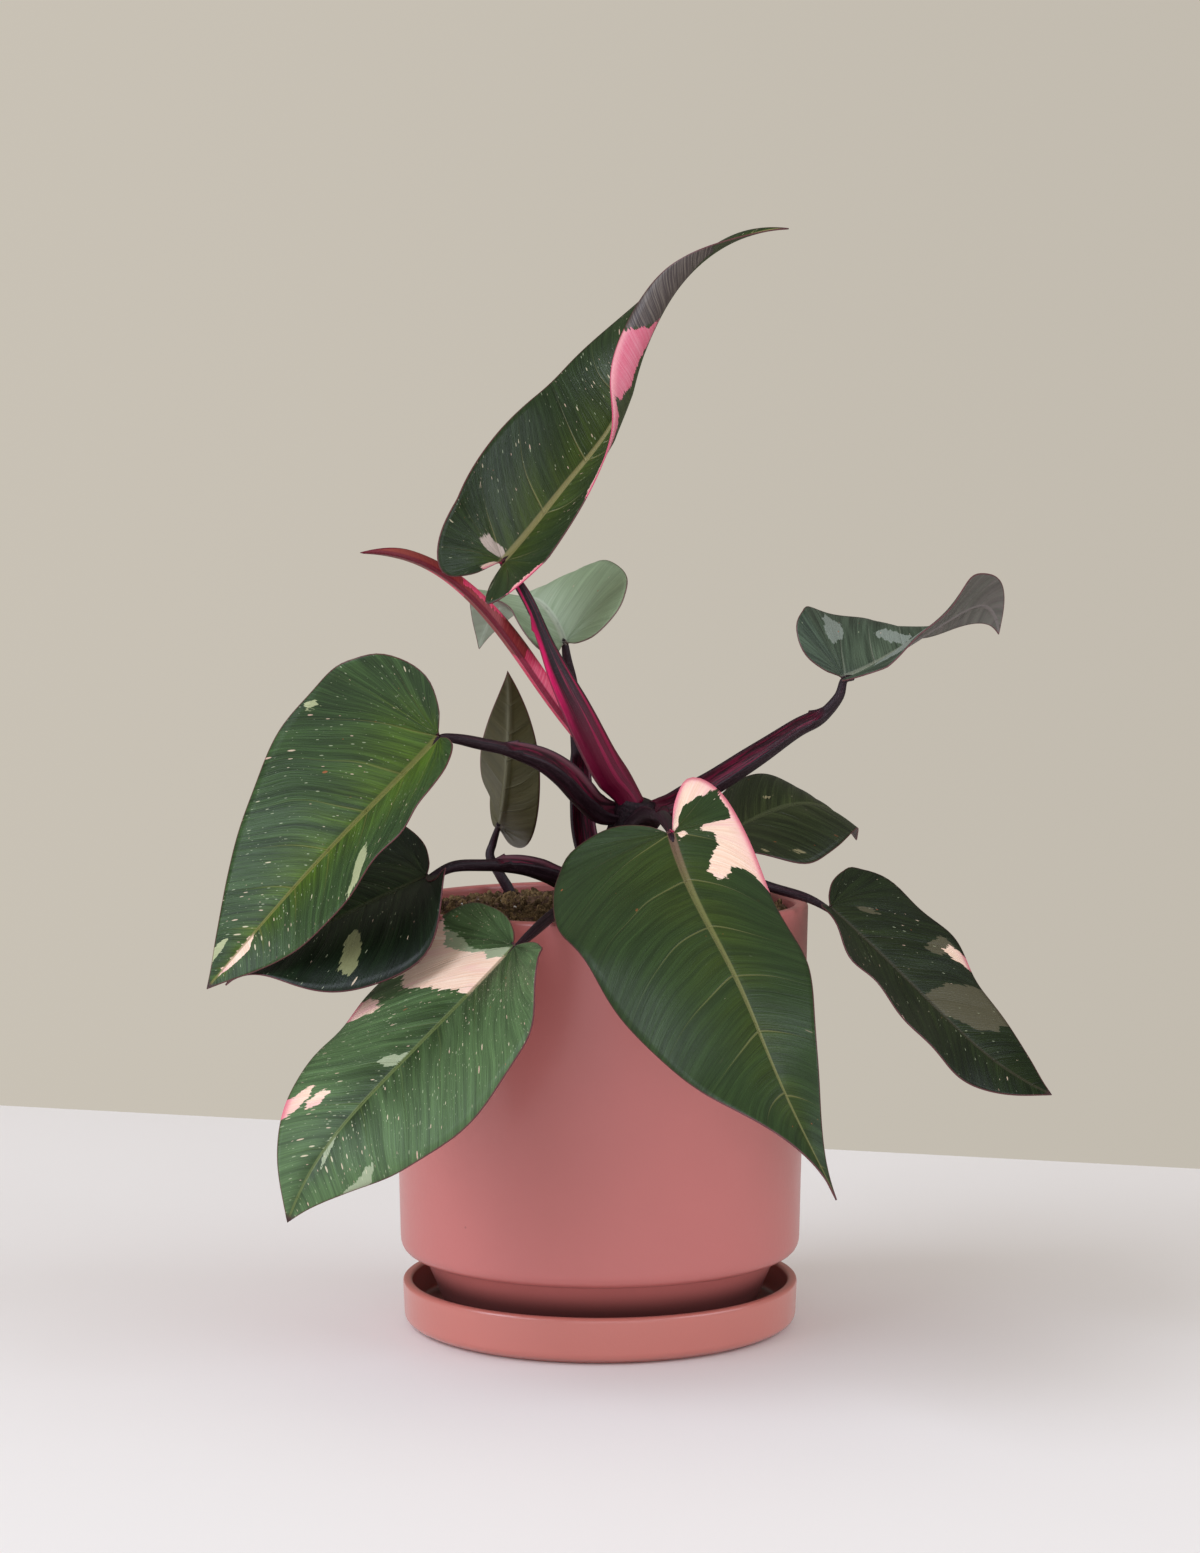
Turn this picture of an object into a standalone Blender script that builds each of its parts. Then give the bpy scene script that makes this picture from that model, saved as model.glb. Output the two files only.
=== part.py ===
"""Pink princess philodendron in its pot and saucer, as closed solids.

Metres, +Z up.  The origin is the centre of the saucer's underside on the
table, and the photograph looks along +Y.  Sizes below are in millimetres and
angles in degrees, as they would be measured on the plant.
"""
from dataclasses import dataclass
from functools import lru_cache
from math import cos, pi, radians, sin, sqrt

import bmesh
import bpy
from mathutils import Vector

MM = 0.001
SEAT = 0.3            # clearance between a piece and the piece it rests on

# Pot, saucer and soil
POT_RIM_RADIUS = 76.0
POT_RIM_HEIGHT = 155.0
POT_BOTTOM_RADIUS = 73.0
POT_BOTTOM_HEIGHT = 27.0
POT_WALL = 5.0
POT_FLOOR = 6.0
POT_LIP = 1.8         # how far the rim's edge is rounded
POT_HIP = 7.0         # height of the round edge above the foot
FOOT_TOP_RADIUS = 65.0
FOOT_RADIUS = 56.0
FOOT_WALL = 5.5
DRAIN_HOLE_RADIUS = 8.0
SAUCER_RADIUS = 72.5
SAUCER_BASE_RADIUS = 67.0
SAUCER_HEIGHT = 16.8
SAUCER_FLOOR = 5.0
SAUCER_WALL = 3.5
SAUCER_LIP = 2.2
SOIL_LEVEL = 150.0
SOIL_CROWN = 1.5      # the soil is a little higher in the middle
SIDES = 56            # flats round the pot and the saucer
HOLE_SIDES = 24
HOLE_CLEAR_HEIGHT = 9.0       # a hole's cutter reaches this far above the soil

# Finishes: colour (linear), roughness
FINISHES = {
    "leaf": ((.018, .050, .014), .38),
    "new_leaf": ((.38, .030, .060), .35),
    "petiole": ((.040, .008, .016), .40),
    "stem": ((.045, .030, .016), .60),
    "potting_soil": ((.050, .030, .018), .95),
    "pot_ceramic": ((.47, .16, .14), .50),
    "saucer_ceramic": ((.50, .17, .14), .35),
}

# Main stem
STEM_RADIUS = 8.0
STEM_PATH = [(1, 8, 92), (1, 8, 120), (1, 8, 146), (1, 8, 152), (4, 6.5, 162),
             (8, 4, 174), (12, 1.5, 186), (13.5, 0.5, 192)]

# Blades
BLADE_THICKNESS = 0.8
RIB_HEIGHT = 1.1      # how far the midrib stands out under the blade
RIB_HALF_WIDTH = 1.6
VEIN_SWEEP = 0.3      # how far a side vein runs forward for each mm sideways

# Half of a heart-shaped blade, laid flat: along the midrib as a share of the
# length, and out from it as a share of the half width.
HEART = [(-.03, .05), (-.10, .16), (-.165, .38), (-.15, .62), (-.07, .83),
         (.07, .97), (.22, 1.0), (.38, .93), (.54, .78), (.70, .54),
         (.84, .28), (.94, .095), (1, 0)]
# The new leaf is still narrow and has no lobes yet.
SPINDLE = [(0, .45), (.12, .80), (.26, 1.0), (.42, .96), (.58, .80),
           (.72, .54), (.84, .27), (.93, .10), (1, 0)]


@dataclass(frozen=True)
class Leaf:
    """A blade's size and how it is held.

    base is where the midrib starts.  heading (0 is +X, 90 is +Y), climb above
    level and roll are given at even steps from base to tip.  fold and curl
    hold one list for each half, the left one first, with the tip away from
    the eye and the upper side facing it: fold is the angle a half rises from
    the midrib, and curl how far it has bent further at the half width.
    lobe, width and shift change each half's outline.
    """
    base: tuple
    length: float
    half_width: float
    heading: tuple
    climb: tuple
    roll: tuple
    fold: tuple
    curl: tuple
    lobe: tuple = (1.0, 1.0)
    width: tuple = (1.0, 1.0)
    shift: tuple = (0.0, 0.0)
    wave: tuple = (0.0, 0.0)     # height of the margin's waves, and how many
    outline: tuple = tuple(HEART)
    columns: int = 5


LEAVES = {
    "top": Leaf(
        (-35, -5, 279), 179, 28, (53, 42, 33, 25, 0, -18, 15), (35, 44, 47, 67, 61, 32, 2),
        (29, 32, 27, 23), ((28, 17, 11), (25, 15, 9)),
        ((31, 1, -110), (20, 85, 332, 120)), lobe=(.81, .87),
        width=(1.13, .82), shift=(0, -.02), columns=7),
    "left": Leaf(
        (-56, -55, 218), 120, 47, (162, 185, 198, 211), (-46, -45, -47, -46),
        (-56, -38, -30, -39), ((26, 16, -5), (38, 22, 2)),
        ((11, 11, -8), (23, 9, -10)), lobe=(.35, .63), width=(1.12, .94),
        wave=(.9, 3.2)),
    "small": Leaf(
        (-38, 55, 178), 77, 14, (-83, -79, -87, -95), (26, 60, 62, 42),
        (-55, -43, -15, 7), ((19, 11, 3), (21, 5, 6)), ((0, 0), (0, 0)),
        lobe=(.8, .95), columns=4),
    "shaded": Leaf(
        (-61, -41, 168), 81.5, 42, (198, 203, 181, 187), (-21, -23, -28, -39),
        (-12, -20, -27, -3), ((14, 6, 9), (14, 11, 9)),
        ((23, -29, -30), (-1, -9, -15)), lobe=(-.3, .5),
        width=(1.12, 1.11), wave=(.8, 2.6)),
    "low_left": Leaf(
        (-29, -98, 150), 120, 51, (194, 207, 200, 206), (-46, -41, -47, -69),
        (-8, -9, -28, -57), ((10, 4, -4), (4, 6, 15)),
        ((6, -10, -10), (11, -23, -28)), lobe=(.2, .35), width=(1.14, .99),
        shift=(-.02, -.01), wave=(.8, 3.4)),
    "front": Leaf(
        (24, -87, 187), 163, 40, (-79, -69, -67, -34), (-34, -32, -43, -59),
        (15, -1, 22, -23), ((13, 17, 14), (3, 4, 14)),
        ((-55, -28, -3), (-28, -34, -34)), lobe=(.93, .4), width=(.67, 1.16),
        shift=(.05, 0), wave=(1.0, 3.5)),
    "back_right": Leaf(
        (45, 38, 175), 73, 30, (10, 24, 42, 50), (30, 17, -18, -53),
        (6, 26, 23, 16), ((7, 6, 4), (10, 4, 3)),
        ((-27, -23, -20), (-22, -33, -30)), width=(1, 1.08),
        wave=(.8, 2.4)),
    "low_right": Leaf(
        (82, -31, 156), 103, 42, (-7, -16, -17, -29), (-41, -43, -40, -19),
        (10, 19, 22, 38), ((12, 6, 5), (12, 11, -5)),
        ((1, -15, -25), (2, 16, -9)), lobe=(.3, .2), width=(.99, 1.12),
        wave=(1.2, 3.3)),
    "twisted": Leaf(
        (88, -12, 237), 92, 31, (31, 28, 48, 64), (16, 27, 23, 5, -74),
        (26, 8, -5, -35, -44, -59), ((32, 14, -4), (35, 17, 0)),
        ((0, 0), (0, 0)), lobe=(.6, .5), width=(1.07, .99),
        wave=(.8, 2.2)),
    "back": Leaf(
        (-13, 12, 249), 98, 30, (100, 111, 120, 115), (27, 18, -16, -56),
        (-13, -20, 1, 5), ((33, 19, 12), (44, 25, 12)),
        ((35, -9, -35), (-28, -28, -26)), lobe=(1, .8), width=(.92, 1.07),
        wave=(1.0, 2.3)),
    "unfurling": Leaf(
        (-6, 6, 213), 112, 14, (190, 188, 190, 186), (50, 55, 38, -4),
        (60, 60, 60, 60), ((25, 25, 25), (25, 25, 25)),
        ((215, 225, 420), (105, 105, 200)), outline=tuple(SPINDLE),
        columns=7),
}


@dataclass(frozen=True)
class Petiole:
    """A leaf stalk: its path from the stem to the blade, its radius at even
    steps along it, how far the winged sheath reaches (as a share of the
    path), and which way the sheath opens."""
    path: tuple
    radii: tuple
    sheath: float
    opens: tuple


PETIOLES = {
    "top": Petiole(((12, 0, 190), (8, -1, 197), (1, -4, 208), (-8, -7, 226),
                    (-16, -9, 242), (-24, -10, 261), (-29, -9, 270)),
                   (4.6, 4.8, 4.6, 3.6, 2.2, 2.0), .72, (-1, .3, .3)),
    "left": Petiole(((10, 4, 186), (0, -3, 188), (-6, -11, 194),
                     (-13, -20, 202), (-21, -28, 208), (-31, -36, 212),
                     (-42, -44, 215), (-50, -50, 217)),
                    (3.6, 4.2, 4.2, 3.4, 2.3, 2.1), .66, (0, -.7, .7)),
    "small": Petiole(((-34, 53, 120), (-34, 53, 136), (-34, 53, 148),
                      (-34.5, 53, 153), (-38, 54, 159), (-42, 56, 166),
                      (-41, 57, 171)),
                     (2.2, 2.2, 2.2, 2.0, 1.6), 0, (0, 1, 0)),
    "shaded": Petiole(((2, 7, 157), (-6, -1, 160), (-13, -8, 163),
                       (-20, -16, 167), (-29, -24, 170), (-41, -32, 171),
                       (-52, -38, 171)),
                      (3.0, 3.6, 3.6, 3.0, 2.2, 2.0), .62, (0, -.5, .9)),
    "low_left": Petiole(((4, 6, 165), (2, -12, 167), (-2, -32, 165),
                         (-9, -56, 161), (-16, -74, 158), (-22, -87, 154)),
                        (3.2, 3.4, 2.8, 2.2, 2.0, 1.9), .35, (0, 0, 1)),
    "front": Petiole(((10, 3, 178), (15, -12, 183), (19, -34, 189),
                      (22, -58, 190), (24, -76, 188)),
                     (3.8, 4.0, 3.4, 2.6, 2.2), .62, (0, 0, 1)),
    "back_right": Petiole(((8, 4, 174), (20, 9, 174), (31, 19, 168),
                           (39, 29, 165), (44, 36, 168)),
                          (3.0, 3.2, 2.6, 2.0), .4, (0, 0, 1)),
    "low_right": Petiole(((6, 5, 167), (22, 1, 169), (36, -9, 168),
                          (52, -20, 165), (63, -26, 162), (74, -30, 159)),
                         (2.8, 3.0, 2.8, 2.6, 1.8, 1.7), .62, (0, 0, 1)),
    "twisted": Petiole(((11, 2, 186), (24, 2, 188), (33, 0, 193),
                        (43, -3, 199), (58, -6, 209), (71, -8, 218),
                        (80, -10, 223), (86, -12, 230)),
                       (3.2, 3.6, 3.4, 3.2, 2.6, 2.2), .8, (-.2, -.8, .7)),
    "back": Petiole(((4, 6, 164), (-3, 11, 170), (-6, 14, 180),
                     (-7, 17, 194), (-8, 18, 210), (-10, 17, 231),
                     (-12, 14, 242)),
                    (3.0, 3.6, 3.4, 3.0, 2.4, 2.1), .5, (.1, -1, .2)),
    "unfurling": Petiole(((14, 6, 190), (9, 7.5, 196), (3, 8, 204)),
                         (2.2, 2.3, 2.2), 0, (0, 0, 1)),
}


# Curves
def catmull(p0, p1, p2, p3, t):
    """The point a share t of the way from p1 to p2 on a smooth curve."""
    return p1 + 0.5 * t * (p2 - p0 + t * (2 * p0 - 5 * p1 + 4 * p2 - p3
                                          + t * (3 * (p1 - p2) + p3 - p0)))


def spread(values, share):
    """A smooth value from values given at even steps of 0..1."""
    last = len(values) - 1
    x = min(max(share, 0.0), 1.0) * last
    i = min(int(x), last - 1)
    p1, p2 = values[i], values[i + 1]
    p0 = values[i - 1] if i > 0 else 2 * p1 - p2
    p3 = values[i + 2] if i + 2 <= last else 2 * p2 - p1
    return catmull(p0, p1, p2, p3, x - i)


def smooth_path(points, count):
    """count points along a smooth path through points, at even lengths."""
    points = [Vector(p) for p in points]
    dense = [spread(points, i / 400) for i in range(401)]
    lengths = [0.0]
    for a, b in zip(dense, dense[1:]):
        lengths.append(lengths[-1] + (b - a).length)
    out, j = [], 0
    for i in range(count):
        target = lengths[-1] * i / (count - 1)
        while j < 399 and lengths[j + 1] < target:
            j += 1
        step = lengths[j + 1] - lengths[j]
        out.append(dense[j].lerp(dense[j + 1],
                                 (target - lengths[j]) / step if step else 0))
    return out


# Leaf shape
def directions(leaf, share):
    """Forward, left and up of the blade at a share of its midrib."""
    h, e, r = (radians(spread(v, share))
               for v in (leaf.heading, leaf.climb, leaf.roll))
    forward = Vector((cos(e) * cos(h), cos(e) * sin(h), sin(e)))
    up = Vector((-sin(e) * cos(h), -sin(e) * sin(h), cos(e)))
    left = up.cross(forward)
    return (forward, left * cos(r) + up * sin(r), up * cos(r) - left * sin(r))


@lru_cache(maxsize=None)
def midrib(leaf):
    """Points at 120 even steps along the midrib."""
    steps = 120
    points = [Vector(leaf.base)]
    for i in range(steps):
        forward = directions(leaf, (i + .5) / steps)[0]
        points.append(points[-1] + forward * (leaf.length / steps))
    return points


def blade_point(leaf, along, across):
    """Where the flat blade's point (along, across) is on the bent blade.
    across is positive on the left half."""
    share = min(max(along / leaf.length, 0.0), 1.0)
    forward, left, up = directions(leaf, share)
    line = midrib(leaf)
    x = share * (len(line) - 1)
    i = min(int(x), len(line) - 2)
    centre = line[i].lerp(line[i + 1], x - i)
    centre = centre + forward * (along - share * leaf.length)
    half = 0 if across >= 0 else 1
    out = abs(across)
    fold = radians(spread(leaf.fold[half], share))
    bend = radians(spread(leaf.curl[half], share)) / leaf.half_width
    if abs(bend) < 1e-6:
        bend = 1e-6
    sideways = (sin(fold + bend * out) - sin(fold)) / bend
    upward = (cos(fold) - cos(fold + bend * out)) / bend
    height, waves = leaf.wave
    upward += (height * sin(waves * 2 * pi * share + half)
               * (out / leaf.half_width) ** 2)
    return centre + left * (sideways if half == 0 else -sideways) + up * upward


def half_outline(leaf, half, count=160):
    """The flat margin of one half, from the notch at the base to the tip."""
    points = []
    for along, across in leaf.outline:
        if along < 0:
            along *= leaf.lobe[half]
        elif along < 1:
            along += leaf.shift[half] * 2.718 ** -(((along - .35) / .3) ** 2)
        points.append((along * leaf.length,
                       across * leaf.half_width * leaf.width[half], 0))
    return smooth_path(points, count)


def flat_rows(leaf, half, stations, fan, columns):
    """Rows of flat points that follow the side veins: fan rows spread from
    the base into the lobe, then one row for each station on the midrib."""
    margin = half_outline(leaf, half)
    start = [p.x - VEIN_SWEEP * p.y for p in margin]
    first = max((i for i, s in enumerate(start) if s < 0), default=0)
    fan_marks = sorted({round(first * i / fan) for i in range(fan + 1)})
    ends = [(0.0, margin[i]) for i in fan_marks]
    for station in stations:
        i = next(i for i in range(first, len(start)) if start[i] >= station)
        share = ((station - start[i - 1]) / (start[i] - start[i - 1])
                 if i else 0)
        ends.append((station, margin[i - 1].lerp(margin[i], share)))
    rows = []
    for origin, end in ends:
        reach = Vector((end.x - origin, end.y)).length
        row = []
        for j in range(1, columns + 1):
            rib = min(RIB_HALF_WIDTH / reach, .3 * j)
            t = rib + (1 - rib) * (j - 1) / (columns - 1)
            along = origin + (end.x - origin) * (t * .5 + t * t * .5)
            row.append((along, end.y * t))
        rows.append((origin, row))
    return rows


def blade_mesh(name, leaf, finish, stations=11, fan=4):
    """A closed blade: an upper skin on the bent surface, a lower skin one
    thickness under it that bulges along the midrib, and a rim between."""
    mesh = bmesh.new()
    marks = [leaf.length * (i + 1) / (stations + 1) for i in range(stations)]
    places = {}                       # flat (along, across) -> index
    points, flat, skin = [], [], []

    def vertex(along, across):
        key = (round(along, 4), round(across, 4))
        if key not in places:
            places[key] = len(points)
            flat.append(key)
            points.append(blade_point(leaf, along, across))
        return places[key]

    base, tip = vertex(0, 0), vertex(leaf.length, 0)
    rims = []
    for half, sign in ((0, 1), (1, -1)):
        rows = flat_rows(leaf, half, marks, fan, leaf.columns)
        grid = [[vertex(origin, 0)] + [vertex(a, sign * c) for a, c in row]
                for origin, row in rows]
        grid.append([tip] * (leaf.columns + 1))
        for lower, upper in zip(grid, grid[1:]):
            for j in range(leaf.columns):
                a, b = lower[j], lower[j + 1]
                c, d = upper[j + 1], upper[j]
                for face in ((a, b, c), (a, c, d)):
                    if len(set(face)) == 3:
                        skin.append(face if half else face[::-1])
        rims.append(grid[0][1:] + [row[-1] for row in grid[1:-1]])
    normals = [Vector() for _ in points]
    for a, b, c in skin:
        normal = (points[b] - points[a]).cross(points[c] - points[a])
        for i in (a, b, c):
            normals[i] += normal
    base_point = Vector(leaf.base)
    upper = [mesh.verts.new((p - base_point) * MM) for p in points]
    lower = []
    for (along, across), point, normal in zip(flat, points, normals):
        depth = BLADE_THICKNESS
        if across == 0:
            depth += RIB_HEIGHT * (1 - along / leaf.length)
        under = point - normal.normalized() * depth
        lower.append(mesh.verts.new((under - base_point) * MM))
    for a, b, c in skin:
        mesh.faces.new((upper[a], upper[b], upper[c]))
        mesh.faces.new((lower[c], lower[b], lower[a]))
    loop = [base] + rims[1] + [tip] + rims[0][::-1]
    for a, b in zip(loop, loop[1:] + loop[:1]):
        mesh.faces.new((upper[b], upper[a], lower[a]))
        mesh.faces.new((upper[b], lower[a], lower[b]))
    return add_object(name, mesh, finish, leaf.base)


def under_blade(leaf, radius, towards):
    """The stalk's last point: just under the blade where the midrib starts,
    clear of it by SEAT at the nearest edge of the stalk's end."""
    up = directions(leaf, 0)[2]
    heading = (Vector(leaf.base) - Vector(towards)).normalized()
    slant = sqrt(max(0.0, 1 - heading.dot(up) ** 2))
    depth = BLADE_THICKNESS + RIB_HEIGHT + SEAT + radius * slant
    return Vector(leaf.base) - up * depth


# Solids
@lru_cache(maxsize=None)
def finish_material(key):
    colour, roughness = FINISHES[key]
    material = bpy.data.materials.new(key)
    material.use_nodes = True
    shader = material.node_tree.nodes["Principled BSDF"]
    shader.inputs["Base Color"].default_value = (*colour, 1)
    shader.inputs["Roughness"].default_value = roughness
    shader.inputs["Metallic"].default_value = 0
    return material


def add_object(name, mesh, finish, place=(0, 0, 0)):
    """A smooth-shaded object at place, from a mesh built round it."""
    bmesh.ops.remove_doubles(mesh, verts=mesh.verts, dist=1e-7)
    bmesh.ops.recalc_face_normals(mesh, faces=mesh.faces)
    data = bpy.data.meshes.new(name)
    mesh.to_mesh(data)
    mesh.free()
    data.shade_smooth()
    data.set_sharp_from_angle(angle=radians(40))
    if finish:
        data.materials.append(finish_material(finish))
    piece = bpy.data.objects.new(name, data)
    piece.location = Vector(place) * MM
    bpy.context.scene.collection.objects.link(piece)
    return piece


def lathe(name, profile, finish=None, sides=SIDES, place=(0, 0, 0)):
    """Turn a closed profile of (radius, height) round a vertical axis."""
    mesh = bmesh.new()
    rings = []
    for radius, height in profile:
        count = 1 if radius == 0 else sides
        ring = [mesh.verts.new((radius * cos(2 * pi * i / sides) * MM,
                                radius * sin(2 * pi * i / sides) * MM,
                                height * MM)) for i in range(count)]
        rings.append(ring * (sides // count))
    for low, high in zip(rings, rings[1:] + rings[:1]):
        for i in range(sides):
            j = (i + 1) % sides
            corners = []
            for vert in (low[i], low[j], high[j], high[i]):
                if vert not in corners:
                    corners.append(vert)
            if len(corners) > 2:
                mesh.faces.new(corners)
    return add_object(name, mesh, finish, place)


def stalk_section(radius, groove, wing):
    """A stalk's outline (sideways, up).  groove 0 is round, and 1 is a
    sheath: a deep channel on the upper side between two thin wings."""
    outer = []
    for i in range(9):
        angle = radians(150 + 30 * i)
        x, y = cos(angle) * (1 + .3 * groove), sin(angle)
        if i in (0, 8):
            y += wing * groove
        outer.append((x * radius, y * radius))
    inner = []
    for share in (.66, .3, -.3, -.66):
        round_top = sqrt(1 - share * share)
        channel = -.25 + .9 * abs(share)
        x = share * (1 + .3 * groove)
        inner.append((x * radius,
                      (round_top + (channel - round_top) * groove) * radius))
    return outer + inner


def stalk_mesh(name, finish, path, radii, rings, sheath=0.0,
               opens=(0, 0, 1)):
    """Sweep the stalk section along a path and close both ends."""
    mesh = bmesh.new()
    start = Vector(path[0])
    line = [point - start for point in smooth_path(path, rings)]
    loops = []
    for i, point in enumerate(line):
        share = i / (rings - 1)
        along = (line[min(i + 1, rings - 1)] - line[max(i - 1, 0)])
        along.normalize()
        side = along.cross(Vector(opens)).normalized()
        up = side.cross(along)
        radius = spread(radii, share)
        groove = min(max((sheath - share) / .06 + .5, 0), 1) if sheath else 0
        groove *= min(share / .12, 1)     # both ends of the stalk are round
        wing = .5 if share < sheath - .03 else .9
        loops.append([mesh.verts.new((point + side * x + up * y) * MM)
                      for x, y in stalk_section(radius, groove, wing)])
    size = len(loops[0])
    for low, high in zip(loops, loops[1:]):
        for i in range(size):
            j = (i + 1) % size
            mesh.faces.new((low[i], low[j], high[j]))
            mesh.faces.new((low[i], high[j], high[i]))
    for loop in (loops[0], loops[-1]):
        middle = sum((v.co for v in loop), Vector()) / size
        centre = mesh.verts.new(middle)
        for i in range(size):
            mesh.faces.new((loop[i], loop[(i + 1) % size], centre))
    return add_object(name, mesh, finish, start)


def hide_cutter(cutter):
    cutter.hide_render = True
    cutter.display_type = "WIRE"
    return cutter


def cut(piece, cutter):
    change = piece.modifiers.new("Clearance for " + cutter.name, "BOOLEAN")
    change.operation = "DIFFERENCE"
    change.solver = "EXACT"
    change.object = cutter


def add_pot():
    inner_rim = POT_RIM_RADIUS - POT_WALL
    inner_low = POT_BOTTOM_RADIUS - POT_WALL
    foot = SAUCER_FLOOR + SEAT
    floor = foot + POT_FLOOR
    hip, lip = POT_HIP, POT_LIP
    return lathe("pot", [
        (DRAIN_HOLE_RADIUS, foot), (FOOT_RADIUS - 1, foot),
        (FOOT_RADIUS, foot + 1), (FOOT_TOP_RADIUS, POT_BOTTOM_HEIGHT - 1),
        (POT_BOTTOM_RADIUS - .85 * hip, POT_BOTTOM_HEIGHT),
        (POT_BOTTOM_RADIUS - .43 * hip, POT_BOTTOM_HEIGHT + .13 * hip),
        (POT_BOTTOM_RADIUS - .14 * hip, POT_BOTTOM_HEIGHT + .43 * hip),
        (POT_BOTTOM_RADIUS, POT_BOTTOM_HEIGHT + hip),
        (POT_RIM_RADIUS, POT_RIM_HEIGHT - 1.7 * lip),
        (POT_RIM_RADIUS - .3 * lip, POT_RIM_HEIGHT - .55 * lip),
        (POT_RIM_RADIUS - lip, POT_RIM_HEIGHT),
        (inner_rim + lip, POT_RIM_HEIGHT),
        (inner_rim + .3 * lip, POT_RIM_HEIGHT - .55 * lip),
        (inner_rim, POT_RIM_HEIGHT - 1.7 * lip),
        (inner_low, POT_BOTTOM_HEIGHT + hip + 2),
        (inner_low - 2, POT_BOTTOM_HEIGHT + hip - 1),
        (FOOT_TOP_RADIUS - POT_WALL, POT_BOTTOM_HEIGHT + hip - 3),
        (FOOT_RADIUS - FOOT_WALL, floor), (DRAIN_HOLE_RADIUS, floor)],
        "pot_ceramic")


def add_saucer():
    lip = SAUCER_LIP
    shoulder = SAUCER_HEIGHT - lip
    return lathe("saucer", [
        (0, 0), (SAUCER_BASE_RADIUS, 0), (SAUCER_BASE_RADIUS + 3, 1.2),
        (SAUCER_RADIUS - 1, 4), (SAUCER_RADIUS, shoulder),
        (SAUCER_RADIUS - .25 * lip, SAUCER_HEIGHT - .27 * lip),
        (SAUCER_RADIUS - SAUCER_WALL / 2, SAUCER_HEIGHT),
        (SAUCER_RADIUS - SAUCER_WALL + .25 * lip, SAUCER_HEIGHT - .27 * lip),
        (SAUCER_RADIUS - SAUCER_WALL, shoulder),
        (SAUCER_RADIUS - SAUCER_WALL - 1, SAUCER_FLOOR + 3),
        (SAUCER_RADIUS - SAUCER_WALL - 3, SAUCER_FLOOR), (0, SAUCER_FLOOR)],
        "saucer_ceramic")


def add_soil():
    """The soil fills the pot from its floor to just under the rim."""
    top = POT_RIM_RADIUS - POT_WALL - SEAT - .1
    low = POT_BOTTOM_RADIUS - POT_WALL - SEAT
    floor = SAUCER_FLOOR + SEAT + POT_FLOOR + SEAT
    soil = lathe("soil", [
        (0, floor), (FOOT_RADIUS - FOOT_WALL - .5, floor),
        (FOOT_TOP_RADIUS - POT_WALL - .5, POT_BOTTOM_HEIGHT + POT_HIP - 2.6),
        (low - 2, POT_BOTTOM_HEIGHT + POT_HIP - .4),
        (low, POT_BOTTOM_HEIGHT + POT_HIP + 2.2),
        (top, SOIL_LEVEL), (top * .6, SOIL_LEVEL + SOIL_CROWN * .7),
        (0, SOIL_LEVEL + SOIL_CROWN)], "potting_soil")
    holes = (("stem hole", STEM_PATH[0], STEM_RADIUS),
             ("small leaf hole", PETIOLES["small"].path[0],
              PETIOLES["small"].radii[0]))
    for name, (x, y, z), radius in holes:
        height = SOIL_LEVEL + HOLE_CLEAR_HEIGHT - z
        profile = [(0, -SEAT), (radius + SEAT, -SEAT),
                   (radius + SEAT, height), (0, height)]
        cut(soil, hide_cutter(lathe(name, profile, sides=HOLE_SIDES,
                                    place=(x, y, z))))
    return soil


def add_stem():
    """The main stem, and the wider shape that seats the stalks round it."""
    full = (STEM_RADIUS,) * 6 + (STEM_RADIUS - .4, STEM_RADIUS - 1)
    stem = stalk_mesh("main_stem", "stem", STEM_PATH, full, 18)
    top, below = Vector(STEM_PATH[-1]), Vector(STEM_PATH[-2])
    above = STEM_PATH[3:-1] + [top + (top - below).normalized() * 2 * SEAT]
    wide = tuple(r + SEAT for r in full[3:])
    seat = hide_cutter(stalk_mesh("stem seat", "stem", above, wide, 10))
    return stem, seat


def add_leaf(key, seat):
    leaf, petiole = LEAVES[key], PETIOLES[key]
    blade = blade_mesh(key + "_leaf", leaf,
                       "new_leaf" if key == "unfurling" else "leaf")
    path = petiole.path + (under_blade(leaf, petiole.radii[-1],
                                       petiole.path[-1]),)
    rings = 18 if petiole.sheath else 12
    stalk = stalk_mesh(key + "_petiole", "petiole", path, petiole.radii,
                       rings, petiole.sheath, petiole.opens)
    if key != "small":                # that one stands in the soil
        cut(stalk, seat)
    return [blade, stalk]


def main():
    for piece in list(bpy.data.objects):
        bpy.data.objects.remove(piece, do_unlink=True)
    stem, seat = add_stem()
    pieces = [add_saucer(), add_pot(), add_soil(), stem]
    for key in LEAVES:
        pieces += add_leaf(key, seat)
    holder = bpy.data.objects.new("potted plant", None)
    bpy.context.scene.collection.objects.link(holder)
    for piece in pieces:
        piece.parent = holder


if __name__ == "__main__":
    main()
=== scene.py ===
"""Pink princess philodendron in its pot and saucer: finish, stage and camera.

Metres, +Z up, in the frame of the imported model: the origin is the centre of
the saucer's underside, and the photograph looks along +Y.  Leaf postures and
stalk paths are in millimetres and degrees, as in the construction.
"""
from dataclasses import dataclass
from math import cos, pi, radians, sin, sqrt, tan

import bmesh
import bpy
import numpy as np
from bpy.props import (FloatProperty, FloatVectorProperty, IntProperty,
                       PointerProperty)
from mathutils import Matrix, Vector


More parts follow.
